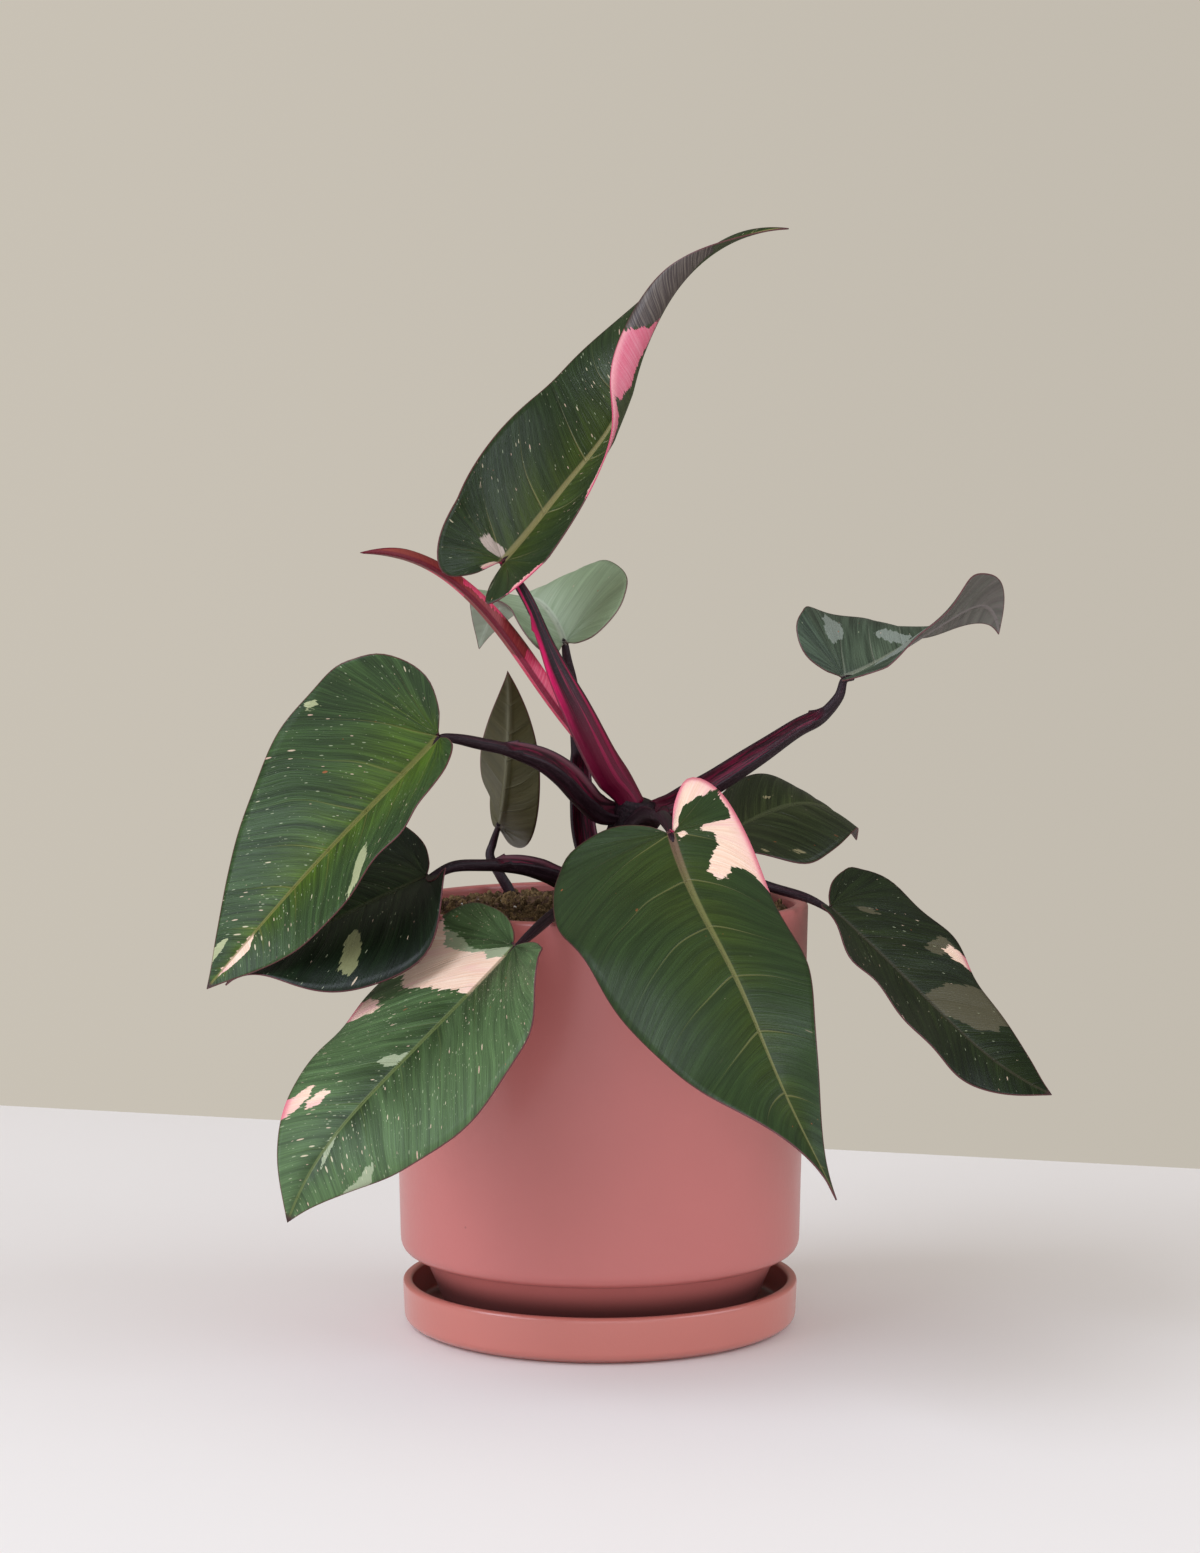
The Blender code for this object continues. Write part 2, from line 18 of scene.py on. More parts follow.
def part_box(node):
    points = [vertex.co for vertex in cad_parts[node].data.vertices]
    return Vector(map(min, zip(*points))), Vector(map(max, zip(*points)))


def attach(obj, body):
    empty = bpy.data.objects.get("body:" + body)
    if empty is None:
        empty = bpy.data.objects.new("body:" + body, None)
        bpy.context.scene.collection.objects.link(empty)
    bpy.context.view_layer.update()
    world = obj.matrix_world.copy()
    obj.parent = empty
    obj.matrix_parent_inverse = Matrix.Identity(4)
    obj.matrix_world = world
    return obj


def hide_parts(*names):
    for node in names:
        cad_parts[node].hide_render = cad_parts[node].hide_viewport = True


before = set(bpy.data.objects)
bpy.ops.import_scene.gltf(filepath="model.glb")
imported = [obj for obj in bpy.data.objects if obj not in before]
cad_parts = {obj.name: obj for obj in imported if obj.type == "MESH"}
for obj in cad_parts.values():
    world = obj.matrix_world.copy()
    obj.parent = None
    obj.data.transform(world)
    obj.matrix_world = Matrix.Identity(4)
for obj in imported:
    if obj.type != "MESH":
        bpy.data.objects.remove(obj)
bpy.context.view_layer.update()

bl_info = {
    "name": "Potted pink philodendron",
    "version": (1, 0, 0),
    "blender": (4, 5, 0),
    "location": "View3D > Sidebar > Plant",
    "description": "Leaves, stalks, soil, pot and stage of a potted plant",
    "category": "Object",
}

MM = 0.001
BODY = "root"

# Camera, worked out from the ellipses of the pot and the saucer
IMAGE_HEIGHT = 1553   # the longer side of the photograph's frame, in pixels
FOCAL_PIXELS = 3297.5
CAMERA_DISTANCE = 1.2
CAMERA_HEIGHT = 0.280
CAMERA_PITCH = 3.79
SENSOR = 36.0

# Blades
VEIN_SWEEP = 0.8      # how far a side vein runs forward for each mm sideways
VEIN_ARCH = 0.4       # share of that run that comes as it nears the margin
VEIN_PAIRS = 6.5      # main side veins on each half, from base to tip
LOBE_VEINS = 3.5      # main side veins that fan into each lobe
FAN_ROWS = 30
VEIN_ROWS = 84
COLUMNS = 20
PLEAT_FADE = 7        # the pleats fade over this distance to the margin, mm
CHANNEL_DEPTH = .45   # the groove along the midrib above, mm
CHANNEL_REACH = 1.3
RIB_HEIGHT = 1.0      # the midrib's ridge below, mm
RIB_REACH = 1.1
WIDEST = .35          # where a blade is widest, as a share of its length
WIDEST_SPREAD = .3
EULER = 2.718
PATCH_REACH = 30.0    # how far the distance to a patch is followed, mm
HEART = [(-.03, .05), (-.10, .16), (-.165, .38), (-.15, .62), (-.07, .83),
         (.07, .97), (.22, 1.0), (.38, .93), (.54, .78), (.70, .54),
         (.84, .28), (.94, .095), (1, 0)]
SPINDLE = [(0, .45), (.12, .80), (.26, 1.0), (.42, .96), (.58, .80),
           (.72, .54), (.84, .27), (.93, .10), (1, 0)]


@dataclass(frozen=True)
class Leaf:
    """A blade's size and how it is held.

    base is where the midrib starts.  heading, climb and roll are given at
    even steps from base to tip.  fold and curl hold one list for each half:
    fold is the angle that half rises from the midrib, and curl how far it
    has bent further at the half width.  lobe, width and shift hold a number
    for each half: how long its lobe is, how wide the half is, and how far
    its widest place lies towards the tip.  wave is the height and the number
    of the margin's waves, and outline half a blade of length and width 1.
    """
    base: tuple
    length: float
    half_width: float
    heading: tuple
    climb: tuple
    roll: tuple
    fold: tuple
    curl: tuple
    lobe: tuple = (1.0, 1.0)
    width: tuple = (1.0, 1.0)
    shift: tuple = (0.0, 0.0)
    wave: tuple = (0.0, 0.0)
    outline: tuple = tuple(HEART)


LEAVES = {
    "top": Leaf(
        (-35, -5, 279), 179, 28, (53, 42, 33, 25, 0, -18, 15), (35, 44, 47, 67, 61, 32, 2),
        (29, 32, 27, 23), ((28, 17, 11), (25, 15, 9)),
        ((31, 1, -110), (20, 85, 332, 120)), lobe=(.81, .87),
        width=(1.13, .82), shift=(0, -.02)),
    "left": Leaf(
        (-56, -55, 218), 120, 47, (162, 185, 198, 211), (-46, -45, -47, -46),
        (-56, -38, -30, -39), ((26, 16, -5), (38, 22, 2)),
        ((11, 11, -8), (23, 9, -10)), lobe=(.35, .63), width=(1.12, .94),
        wave=(.9, 3.2)),
    "small": Leaf(
        (-38, 55, 178), 77, 14, (-83, -79, -87, -95), (26, 60, 62, 42),
        (-55, -43, -15, 7), ((19, 11, 3), (21, 5, 6)), ((0, 0), (0, 0)),
        lobe=(.8, .95)),
    "shaded": Leaf(
        (-61, -41, 168), 81.5, 42, (198, 203, 181, 187), (-21, -23, -28, -39),
        (-12, -20, -27, -3), ((14, 6, 9), (14, 11, 9)),
        ((23, -29, -30), (-1, -9, -15)), lobe=(-.3, .5),
        width=(1.12, 1.11), wave=(.8, 2.6)),
    "low_left": Leaf(
        (-29, -98, 150), 120, 51, (194, 207, 200, 206), (-46, -41, -47, -69),
        (-8, -9, -28, -57), ((10, 4, -4), (4, 6, 15)),
        ((6, -10, -10), (11, -23, -28)), lobe=(.2, .35), width=(1.14, .99),
        shift=(-.02, -.01), wave=(.8, 3.4)),
    "front": Leaf(
        (24, -87, 187), 163, 40, (-79, -69, -67, -34), (-34, -32, -43, -59),
        (15, -1, 22, -23), ((13, 17, 14), (3, 4, 14)),
        ((-55, -28, -3), (-28, -34, -34)), lobe=(.93, .4), width=(.67, 1.16),
        shift=(.05, 0), wave=(1.0, 3.5)),
    "back_right": Leaf(
        (45, 38, 175), 73, 30, (10, 24, 42, 50), (30, 17, -18, -53),
        (6, 26, 23, 16), ((7, 6, 4), (10, 4, 3)),
        ((-27, -23, -20), (-22, -33, -30)), width=(1, 1.08),
        wave=(.8, 2.4)),
    "low_right": Leaf(
        (82, -31, 156), 103, 42, (-7, -16, -17, -29), (-41, -43, -40, -19),
        (10, 19, 22, 38), ((12, 6, 5), (12, 11, -5)),
        ((1, -15, -25), (2, 16, -9)), lobe=(.3, .2), width=(.99, 1.12),
        wave=(1.2, 3.3)),
    "twisted": Leaf(
        (88, -12, 237), 92, 31, (31, 28, 48, 64), (16, 27, 23, 5, -74),
        (26, 8, -5, -35, -44, -59), ((32, 14, -4), (35, 17, 0)),
        ((0, 0), (0, 0)), lobe=(.6, .5), width=(1.07, .99),
        wave=(.8, 2.2)),
    "back": Leaf(
        (-13, 12, 249), 98, 30, (100, 111, 120, 115), (27, 18, -16, -56),
        (-13, -20, 1, 5), ((33, 19, 12), (44, 25, 12)),
        ((35, -9, -35), (-28, -28, -26)), lobe=(1, .8), width=(.92, 1.07),
        wave=(1.0, 2.3)),
    "unfurling": Leaf(
        (-6, 6, 213), 112, 14, (190, 188, 190, 186), (50, 55, 38, -4),
        (60, 60, 60, 60), ((25, 25, 25), (25, 25, 25)),
        ((215, 225, 420), (105, 105, 200)), outline=tuple(SPINDLE)),
}


@dataclass(frozen=True)
class Petiole:
    """A leaf stalk: its path, its radius at even steps, how far the winged
    sheath reaches as a share of the path, and which way it opens."""
    path: tuple
    radii: tuple
    sheath: float
    opens: tuple


PETIOLES = {
    "top": Petiole(((12, 0, 190), (8, -1, 197), (1, -4, 208), (-8, -7, 226),
                    (-16, -9, 242), (-24, -10, 261), (-29, -9, 270)),
                   (4.6, 4.8, 4.6, 3.6, 2.2, 2.0), .72, (-1, .3, .3)),
    "left": Petiole(((10, 4, 186), (0, -3, 188), (-6, -11, 194),
                     (-13, -20, 202), (-21, -28, 208), (-31, -36, 212),
                     (-42, -44, 215), (-50, -50, 217)),
                    (3.6, 4.2, 4.2, 3.4, 2.3, 2.1), .66, (0, -.7, .7)),
    "small": Petiole(((-34, 53, 120), (-34, 53, 136), (-34, 53, 148),
                      (-34.5, 53, 153), (-38, 54, 159), (-42, 56, 166),
                      (-41, 57, 171)),
                     (2.2, 2.2, 2.2, 2.0, 1.6), 0, (0, 1, 0)),
    "shaded": Petiole(((2, 7, 157), (-6, -1, 160), (-13, -8, 163),
                       (-20, -16, 167), (-29, -24, 170), (-41, -32, 171),
                       (-52, -38, 171)),
                      (3.0, 3.6, 3.6, 3.0, 2.2, 2.0), .62, (0, -.5, .9)),
    "low_left": Petiole(((4, 6, 165), (2, -12, 167), (-2, -32, 165),
                         (-9, -56, 161), (-16, -74, 158), (-22, -87, 154)),
                        (3.2, 3.4, 2.8, 2.2, 2.0, 1.9), .35, (0, 0, 1)),
    "front": Petiole(((10, 3, 178), (15, -12, 183), (19, -34, 189),
                      (22, -58, 190), (24, -76, 188)),
                     (3.8, 4.0, 3.4, 2.6, 2.2), .62, (0, 0, 1)),
    "back_right": Petiole(((8, 4, 174), (20, 9, 174), (31, 19, 168),
                           (39, 29, 165), (44, 36, 168)),
                          (3.0, 3.2, 2.6, 2.0), .4, (0, 0, 1)),
    "low_right": Petiole(((6, 5, 167), (22, 1, 169), (36, -9, 168),
                          (52, -20, 165), (63, -26, 162), (74, -30, 159)),
                         (2.8, 3.0, 2.8, 2.6, 1.8, 1.7), .62, (0, 0, 1)),
    "twisted": Petiole(((11, 2, 186), (24, 2, 188), (33, 0, 193),
                        (43, -3, 199), (58, -6, 209), (71, -8, 218),
                        (80, -10, 223), (86, -12, 230)),
                       (3.2, 3.6, 3.4, 3.2, 2.6, 2.2), .8, (-.2, -.8, .7)),
    "back": Petiole(((4, 6, 164), (-3, 11, 170), (-6, 14, 180),
                     (-7, 17, 194), (-8, 18, 210), (-10, 17, 231),
                     (-12, 14, 242)),
                    (3.0, 3.6, 3.4, 3.0, 2.4, 2.1), .5, (.1, -1, .2)),
    "unfurling": Petiole(((14, 6, 190), (9, 7.5, 196), (3, 8, 204)),
                         (2.2, 2.3, 2.2), 0, (0, 0, 1)),
}
STEM_PATH = [(1, 8, 92), (1, 8, 120), (1, 8, 146), (1, 8, 152), (4, 6.5, 162),
             (8, 4, 174), (12, 1.5, 186), (13.5, 0.5, 192)]
STEM_RADII = (8.0,) * 6 + (7.6, 7.0)

# How much crimson shows in a stalk, and how high its deep crimson foot is
STALK_TINTS = {"top": (.9, 55), "unfurling": (.9, 0), "twisted": (.16, 20),
               "front": (.12, 0)}


@dataclass(frozen=True)
class Patch:
    """A patch without green.  kind is pink or grey, half is 1 for the left
    half and -1 for the right.  corners are its outline: each is a vein
    position in mm (below 0 in the lobe) and a share of the way out to the
    margin, where 1.2 is safely past it."""
    kind: str
    half: int
    corners: tuple


PATCHES = {
    "low_left": (
        Patch("pink", -1, ((-27, 1.2), (-24, .95), (-20, .80), (-13, .66), (-8, .50),
                           (-3, .36), (5, .14), (4, -.1), (24, -.1), (21, .10),
                           (15, .42), (8, .69), (1, .80), (-3, .82), (-5, .90),
                           (-8, 1.2))),
        Patch("grey", -1, ((-27, 1.2), (-22, .84), (-17, .53), (-12, .46), (-4, .30),
                           (1, -.1), (12, -.1), (4, .4), (-12, .8))),
        Patch("pink", -1, ((3, 1.2), (4, .93), (13, .79), (17, .78), (17, .90), (12, 1.2))),
        Patch("pink", -1, ((69, 1.2), (68, .94), (64, .89), (64, .78), (69, .80),
                           (75, .85), (80, 1.2))),
        Patch("pink", -1, ((75, .75), (71, .77), (66, .66), (68, .55), (73, .62))),
        Patch("grey", -1, ((54, .30), (51, .18), (50, .02), (55, .02), (57, .17))),
        Patch("grey", 1, ((84, -.06), (89, .10), (93, .20), (98, .28), (95, .05), (91, -.06))),
        Patch("grey", 1, ((73, .80), (75, .95), (82, 1.2), (100, 1.2), (91, .96),
                          (84, .90), (78, .82)))),
    "front": (
        Patch("pink", 1, ((-100, -.1), (-40, .04), (-60, .30), (-60, .52), (-54, .66),
                          (-50, .80), (-48, .90), (-43, 1.2), (-100, 1.2))),
        Patch("pink", 1, ((-29, 1.2), (-29, .94), (-26, .80), (-25, .46), (-12, .37),
                          (-11, .54), (1, .54), (5, .50), (8, .42), (13, .37),
                          (20, .27), (22, .38), (18, .50), (12, .60), (9, .72),
                          (10, .86), (15, 1.2))),
        Patch("pink", 1, ((-46, 1.2), (-44, .91), (10, .94), (26, 1.2))),
        Patch("pink", 1, ((-2, .06), (-16, .18), (0, .20), (4, .10)))),
    "top": (
        Patch("grey", 1, ((-36, .42), (-12, .34), (2, .16), (2, .04), (-39, .08), (-43, .26))),
        Patch("pink", 1, ((-100, .06), (-70, .20), (-74, .50), (-86, .80), (-100, .9))),
        Patch("pink", -1, ((64, 1.2), (66, .82), (76, .64), (91, .46), (104, .25),
                           (116, .08), (113, .30), (106, .55), (96, .94), (92, 1.2))),
        Patch("pink", -1, ((4, 1.2), (20, .88), (34, .82), (60, .80), (70, 1.2))),
        Patch("pink", -1, ((-60, 1.2), (-50, .92), (-30, .93), (-22, 1.2))),
        Patch("grey", -1, ((92, 1.2), (96, .94), (106, .55), (116, .10), (134, 0),
                           (148, .4), (146, 1.2))),
        Patch("grey", 1, ((112, -.06), (150, -.06), (150, .12), (118, .10)))),
    "shaded": (
        Patch("grey", 1, ((17, .90), (19, .70), (26, .40), (29, .42), (27, .62), (23, .86))),),
    "left": (
        Patch("grey", 1, ((20, .84), (29, .56), (32, .60), (31, .90), (37, .97), (34, 1.0),
                          (23, .97))),
        Patch("pink", 1, ((94, .0), (112, -.06), (114, .16), (107, .36), (99, .34))),
        Patch("grey", -1, ((104, 1.2), (99, .92), (96, .64), (101, .68), (107, .90),
                           (112, 1.2))),
        Patch("grey", -1, ((-8, .99), (-8, .92), (-5, .86), (-3, .95)))),
    "low_right": (
        Patch("grey", 1, ((46, -.1), (43, .22), (40, .44), (37, .67), (34, .85), (35, 1.2),
                          (58, 1.2), (59, .85), (63, .78), (63, .36), (59, .22), (56, .04),
                          (54, -.1))),
        Patch("grey", 1, ((20, .58), (14, .72), (8, .87), (13, .94), (18, .82), (23, .70))),
        Patch("pink", 1, ((17, .77), (13, .88), (20, 1.2), (25, 1.2), (21, .80))),
        Patch("grey", 1, ((-1, .30), (3, .32), (3, .47), (-1, .46)))),
    "back_right": (
        Patch("grey", 1, ((20, .31), (23, .31), (23, .38), (20, .39))),
        Patch("grey", -1, ((-2, .80), (1, .81), (1, .87), (-2, .87))),
        Patch("grey", -1, ((-12, .82), (-9, .83), (-9, .89), (-12, .89)))),
    "twisted": (
        Patch("grey", 1, ((-7, .92), (1, .76), (3, .50), (-8, .42), (-13, .55), (-10, .74))),
        Patch("grey", 1, ((17, .50), (22, .54), (27, .38), (33, .14), (29, .02), (23, .24),
                          (19, .38))),
        Patch("grey", -1, ((-12, .95), (-8, .60), (-2, .40), (20, .10), (30, .3), (6, .9)))),
    "unfurling": (
        Patch("pink", -1, ((-5, -.1), (-5, 1.2), (44, 1.2), (38, -.1))),
        Patch("pink", 1, ((-5, -.1), (-5, 1.2), (34, 1.2), (38, -.1))),
        Patch("pink", 1, ((72, .15), (50, .35), (44, 1.2), (70, 1.2))),
        Patch("pink", -1, ((68, .2), (64, 1.2), (86, 1.2), (84, .3)))),
}


def outline_distance(points, corners):
    """Distance from each point to a closed outline, above 0 inside it."""
    nearest = np.full(len(points), np.inf)
    crossings = np.zeros(len(points), int)
    for (x0, y0), (x1, y1) in zip(corners, corners[1:] + corners[:1]):
        step = np.array((x1 - x0, y1 - y0))
        away = points - (x0, y0)
        share = np.clip(away @ step / (step @ step), 0, 1)
        gap = np.linalg.norm(away - share[:, None] * step, axis=1)
        nearest = np.minimum(nearest, gap)
        if y0 != y1:
            level = (points[:, 1] >= min(y0, y1)) & (points[:, 1] < max(y0, y1))
            side = x0 + (points[:, 1] - y0) / (y1 - y0) * (x1 - x0)
            crossings += level & (points[:, 0] < side)
    return np.where(crossings % 2, nearest, -nearest)


@dataclass(frozen=True)
class Look:
    """A leaf's colours (linear): deep green towards the margin, fresh
    green by the midrib, the midrib and side veins, and patches that are only
    half without green.  On some leaves these carry painted light: darker as
    painted shade on the shaded and low_right leaves, lighter as painted sheen
    and backlight on the back leaf, and partly painted sheen in the low_left
    leaf's deep green.  under is its underside's main colour, if it has one
    of its own, and foot the midrib's colour at its base.  Then how clearly
    the streaks and the side veins show, how many flecks and how much finer
    dust it carries, and how rough its upper side is."""
    deep: tuple = (.020, .052, .014)
    fresh: tuple = (.052, .110, .014)
    rib: tuple = (.16, .20, .06)
    grey: tuple = (.38, .42, .25)
    under: tuple = None
    foot: tuple = None
    streaks: float = 1.0
    veins: float = .15
    flecks: float = .12
    dust: float = .0
    roughness: float = .36


LOOKS = {
    "top": Look((.021, .036, .013), (.050, .078, .012), (.27, .24, .10),
                (.62, .50, .44), (.034, .042, .020), streaks=.7, veins=.5, flecks=.16,
                dust=.10, roughness=.30),
    "left": Look((.030, .062, .018), (.056, .104, .006), (.17, .17, .040),
                 (.46, .50, .28), veins=.45, flecks=.13, dust=.22, roughness=.38),
    "small": Look((.034, .024, .016), (.050, .042, .012), (.07, .07, .03),
                  under=(.072, .066, .026), streaks=.5, veins=.1, flecks=.02),
    # painted shade: this leaf's greens are darkened for the shade it lies in
    "shaded": Look((.006, .013, .005), (.020, .034, .011), (.04, .05, .02),
                   (.24, .25, .12), veins=.2, flecks=.05, dust=.10),
    # partly painted sheen: the deep green towards this leaf's margin is lightened for the sheen
    # on it
    "low_left": Look((.072, .130, .050), (.018, .038, .008), (.12, .16, .05),
                     (.36, .42, .27), streaks=.75, veins=.25, flecks=.24, dust=.36,
                     roughness=.40),
    "front": Look((.023, .044, .013), (.032, .052, .008), (.16, .16, .055),
                  foot=(.17, .095, .065), streaks=.6, veins=.6, flecks=.003, dust=.003,
                  roughness=.42),
    "back_right": Look((.020, .028, .010), (.034, .044, .014), (.06, .07, .03),
                       (.30, .26, .14), veins=.2, flecks=.02),
    # painted shade: this leaf's greens are darkened for the shade it lies in
    "low_right": Look((.010, .018, .005), (.016, .026, .006), (.040, .038, .020),
                      (.105, .095, .055), veins=.2, flecks=.05, dust=.06),
    "twisted": Look((.046, .068, .044), (.070, .096, .062), (.22, .24, .18),
                    (.26, .30, .26), (.115, .098, .092), veins=.5, flecks=.02, dust=.02),
    # painted sheen and backlight: this leaf's colours are lightened for the light on it
    "back": Look((.235, .310, .185), (.330, .400, .285), (.42, .46, .36),
                 (.52, .55, .46), (.34, .40, .32), streaks=.3, veins=.1, flecks=.02,
                 roughness=.55),
    "unfurling": Look((.22, .030, .038), (.16, .030, .035), (.09, .008, .018), flecks=0),
}


# Settings that a user would change
class LeafSettings(bpy.types.PropertyGroup):
    thickness: FloatProperty(
        name="Blade thickness", description="Thickness of a leaf blade",
        default=0.00045, min=0.0002, max=0.001, subtype="DISTANCE", unit="LENGTH")
    pleat: FloatProperty(
        name="Pleat depth", description="How far the blade dips at a side vein",
        default=0.00035, min=0, max=0.001, subtype="DISTANCE", unit="LENGTH")
    pale: FloatVectorProperty(
        name="Pale patches", description="Colour where the upper side has no green",
        default=(.80, .50, .42), min=0, max=1, size=3, subtype="COLOR")
    blush: FloatVectorProperty(
        name="Blush", description="Stronger pink at margins and on undersides",
        default=(.78, .15, .24), min=0, max=1, size=3, subtype="COLOR")
    underside: FloatVectorProperty(
        name="Underside", description="Main colour under the blades",
        default=(.055, .028, .026), min=0, max=1, size=3, subtype="COLOR")


class StalkSettings(bpy.types.PropertyGroup):
    skin: FloatVectorProperty(
        name="Stalk", description="Main colour of the leaf stalks",
        default=(.013, .005, .008), min=0, max=1, size=3, subtype="COLOR")
    sheath: FloatVectorProperty(
        name="Sheath", description="Colour inside the winged sheaths",
        default=(.028, .005, .010), min=0, max=1, size=3, subtype="COLOR")
    crimson: FloatVectorProperty(
        name="Crimson", description="Bright stripes on the youngest stalks",
        default=(.42, .004, .075), min=0, max=1, size=3, subtype="COLOR")


class PotSettings(bpy.types.PropertyGroup):
    sides: IntProperty(
        name="Segments", description="Segments round the pot and the saucer",
        default=192, min=24, max=512)
    glaze: FloatVectorProperty(
        name="Pot glaze", description="Colour of the pot's satin glaze",
        default=(.515, .148, .136), min=0, max=1, size=3, subtype="COLOR")
    saucer_glaze: FloatVectorProperty(
        name="Saucer glaze", description="Colour of the saucer's glossier glaze",
        default=(.530, .158, .128), min=0, max=1, size=3, subtype="COLOR")


class SoilSettings(bpy.types.PropertyGroup):
    crumb: FloatProperty(
        name="Crumb size", description="Radius of the larger soil crumbs",
        default=0.0017, min=0.0005, max=0.004, subtype="DISTANCE", unit="LENGTH")
    density: FloatProperty(
        name="Crumb density", description="Crumbs on each square metre of soil",
        default=220000.0, min=0, max=600000)
    seed: IntProperty(name="Seed", description="Seed of the scatter", default=7, min=0)


class StageSettings(bpy.types.PropertyGroup):
    floor: FloatVectorProperty(
        name="Floor", description="Colour of the plain pale floor",
        default=(.84, .81, .80), min=0, max=1, size=3, subtype="COLOR")
    backdrop: FloatVectorProperty(
        name="Backdrop", description="Colour of the plain studio backdrop",
        default=(.566, .522, .449), min=0, max=1, size=3, subtype="COLOR")
    key: FloatProperty(
        name="Key light", description="Power of the large soft light",
        default=86.0, min=0, max=500, unit="POWER")
    side: FloatProperty(
        name="Side light", description="Power of the weaker light on the right",
        default=36.0, min=0, max=500, unit="POWER")
    front: FloatProperty(
        name="Front light", description="Power of the weak light by the camera",
        default=32.0, min=0, max=500, unit="POWER")


# Curves
def spread(values, share):
    """Smooth values at each share of 0..1, from values at even steps."""
    values = np.asarray(values, float)
    share = np.asarray(share, float)
    last = len(values) - 1
    x = np.clip(share, 0, 1) * last
    i = np.minimum(x.astype(int), last - 1)
    ends = (2 * values[:1] - values[1:2], values, 2 * values[-1:] - values[-2:-1])
    padded = np.concatenate(ends)
    p0, p1, p2, p3 = (padded[i + k] for k in range(4))
    t = x - i
    if values.ndim > 1:
        t = t[..., None]
    return p1 + 0.5 * t * (p2 - p0 + t * (2 * p0 - 5 * p1 + 4 * p2 - p3
                                          + t * (3 * (p1 - p2) + p3 - p0)))


def smooth_path(points, count):
    """count points along a smooth path through points, at even lengths."""
    dense = spread(points, np.linspace(0, 1, 801))
    steps = np.linalg.norm(np.diff(dense, axis=0), axis=1)
    lengths = np.concatenate(([0], np.cumsum(steps)))
    at = np.linspace(0, lengths[-1], count)
    return np.stack([np.interp(at, lengths, dense[:, k])
                     for k in range(dense.shape[1])], axis=1)


def smooth_step(low, high, x):
    t = np.clip((np.asarray(x, float) - low) / (high - low), 0, 1)
    return t * t * (3 - 2 * t)


# Leaf shape
def directions(leaf, share):
    """Forward, left and up of the blade at each share of its midrib."""
    h, e, r = (np.radians(spread(v, share))
               for v in (leaf.heading, leaf.climb, leaf.roll))
    forward = np.stack([np.cos(e) * np.cos(h), np.cos(e) * np.sin(h), np.sin(e)], -1)
    up = np.stack([-np.sin(e) * np.cos(h), -np.sin(e) * np.sin(h), np.cos(e)], -1)
    left = np.cross(up, forward)
    c, s = np.cos(r)[..., None], np.sin(r)[..., None]
    return forward, left * c + up * s, up * c - left * s


def midrib(leaf, steps=240):
    share = (np.arange(steps) + .5) / steps
    forward = directions(leaf, share)[0] * (leaf.length / steps)
    return np.vstack([[leaf.base], leaf.base + np.cumsum(forward, axis=0)])


def bend(leaf, along, across):
    """Where the flat blade's points are on the bent blade."""
    share = np.clip(along / leaf.length, 0, 1)
    forward, left, up = directions(leaf, share)
    line = midrib(leaf)
    stations = np.linspace(0, 1, len(line))
    centre = np.stack([np.interp(share, stations, line[:, k]) for k in range(3)], 1)
    centre += forward * (along - share * leaf.length)[:, None]
    on_left = across >= 0
    out = np.abs(across)
    fold = np.radians(np.where(on_left, spread(leaf.fold[0], share),
                               spread(leaf.fold[1], share)))
    curl = np.radians(np.where(on_left, spread(leaf.curl[0], share),
                               spread(leaf.curl[1], share))) / leaf.half_width
    curl = np.where(np.abs(curl) < 1e-6, 1e-6, curl)
    sideways = (np.sin(fold + curl * out) - np.sin(fold)) / curl
    upward = (np.cos(fold) - np.cos(fold + curl * out)) / curl
    height, waves = leaf.wave
    upward += (height * np.sin(waves * 2 * pi * share + np.where(on_left, 0, 1))
               * (out / leaf.half_width) ** 2)
    sign = np.where(on_left, 1, -1)
    return centre + left * (sideways * sign)[:, None] + up * upward[:, None]


def half_outline(leaf, half, count=600):
    """The flat margin of one half, from the notch at the base to the tip."""
    points = []
    for along, across in leaf.outline:
        if along < 0:
            along *= leaf.lobe[half]
        elif along < 1:
            away = (along - WIDEST) / WIDEST_SPREAD
            along += leaf.shift[half] * EULER ** -(away ** 2)
        points.append((along * leaf.length,
                       across * leaf.half_width * leaf.width[half]))
    return smooth_path(points, count)


def vein_rows(leaf, half):
    """For each side vein row of one half: its place on the midrib, its vein
    position (below 0 in the lobe), its end on the margin, and the margin's
    direction there."""
    margin = half_outline(leaf, half)
    start = margin[:, 0] - VEIN_SWEEP * margin[:, 1]
    first = int(np.max(np.nonzero(start < 0)[0], initial=0))
    lobe_span = LOBE_VEINS * leaf.length / VEIN_PAIRS
    marks = sorted({round(first * i / FAN_ROWS) for i in range(FAN_ROWS + 1)})
    places, ends = [], []
    for i in marks:
        places.append((0.0, -lobe_span * (1 - i / max(first, 1))))
        ends.append(float(i))
    for k in range(VEIN_ROWS):
        station = leaf.length * (k + 1) / (VEIN_ROWS + 1)
        i = first + int(np.argmax(start[first:] >= station))
        before = start[i - 1] if i else 0
        ends.append(i - (start[i] - station) / max(start[i] - before, 1e-9))
        places.append((station, station))
    index = np.arange(len(margin))
    end = np.stack([np.interp(ends, index, margin[:, k]) for k in (0, 1)], 1)
    slope = np.gradient(margin, axis=0)
    slope /= np.linalg.norm(slope, axis=1)[:, None] + 1e-12
    tangent = np.stack([np.interp(ends, index, slope[:, k]) for k in (0, 1)], 1)
    return np.array(places), end, tangent


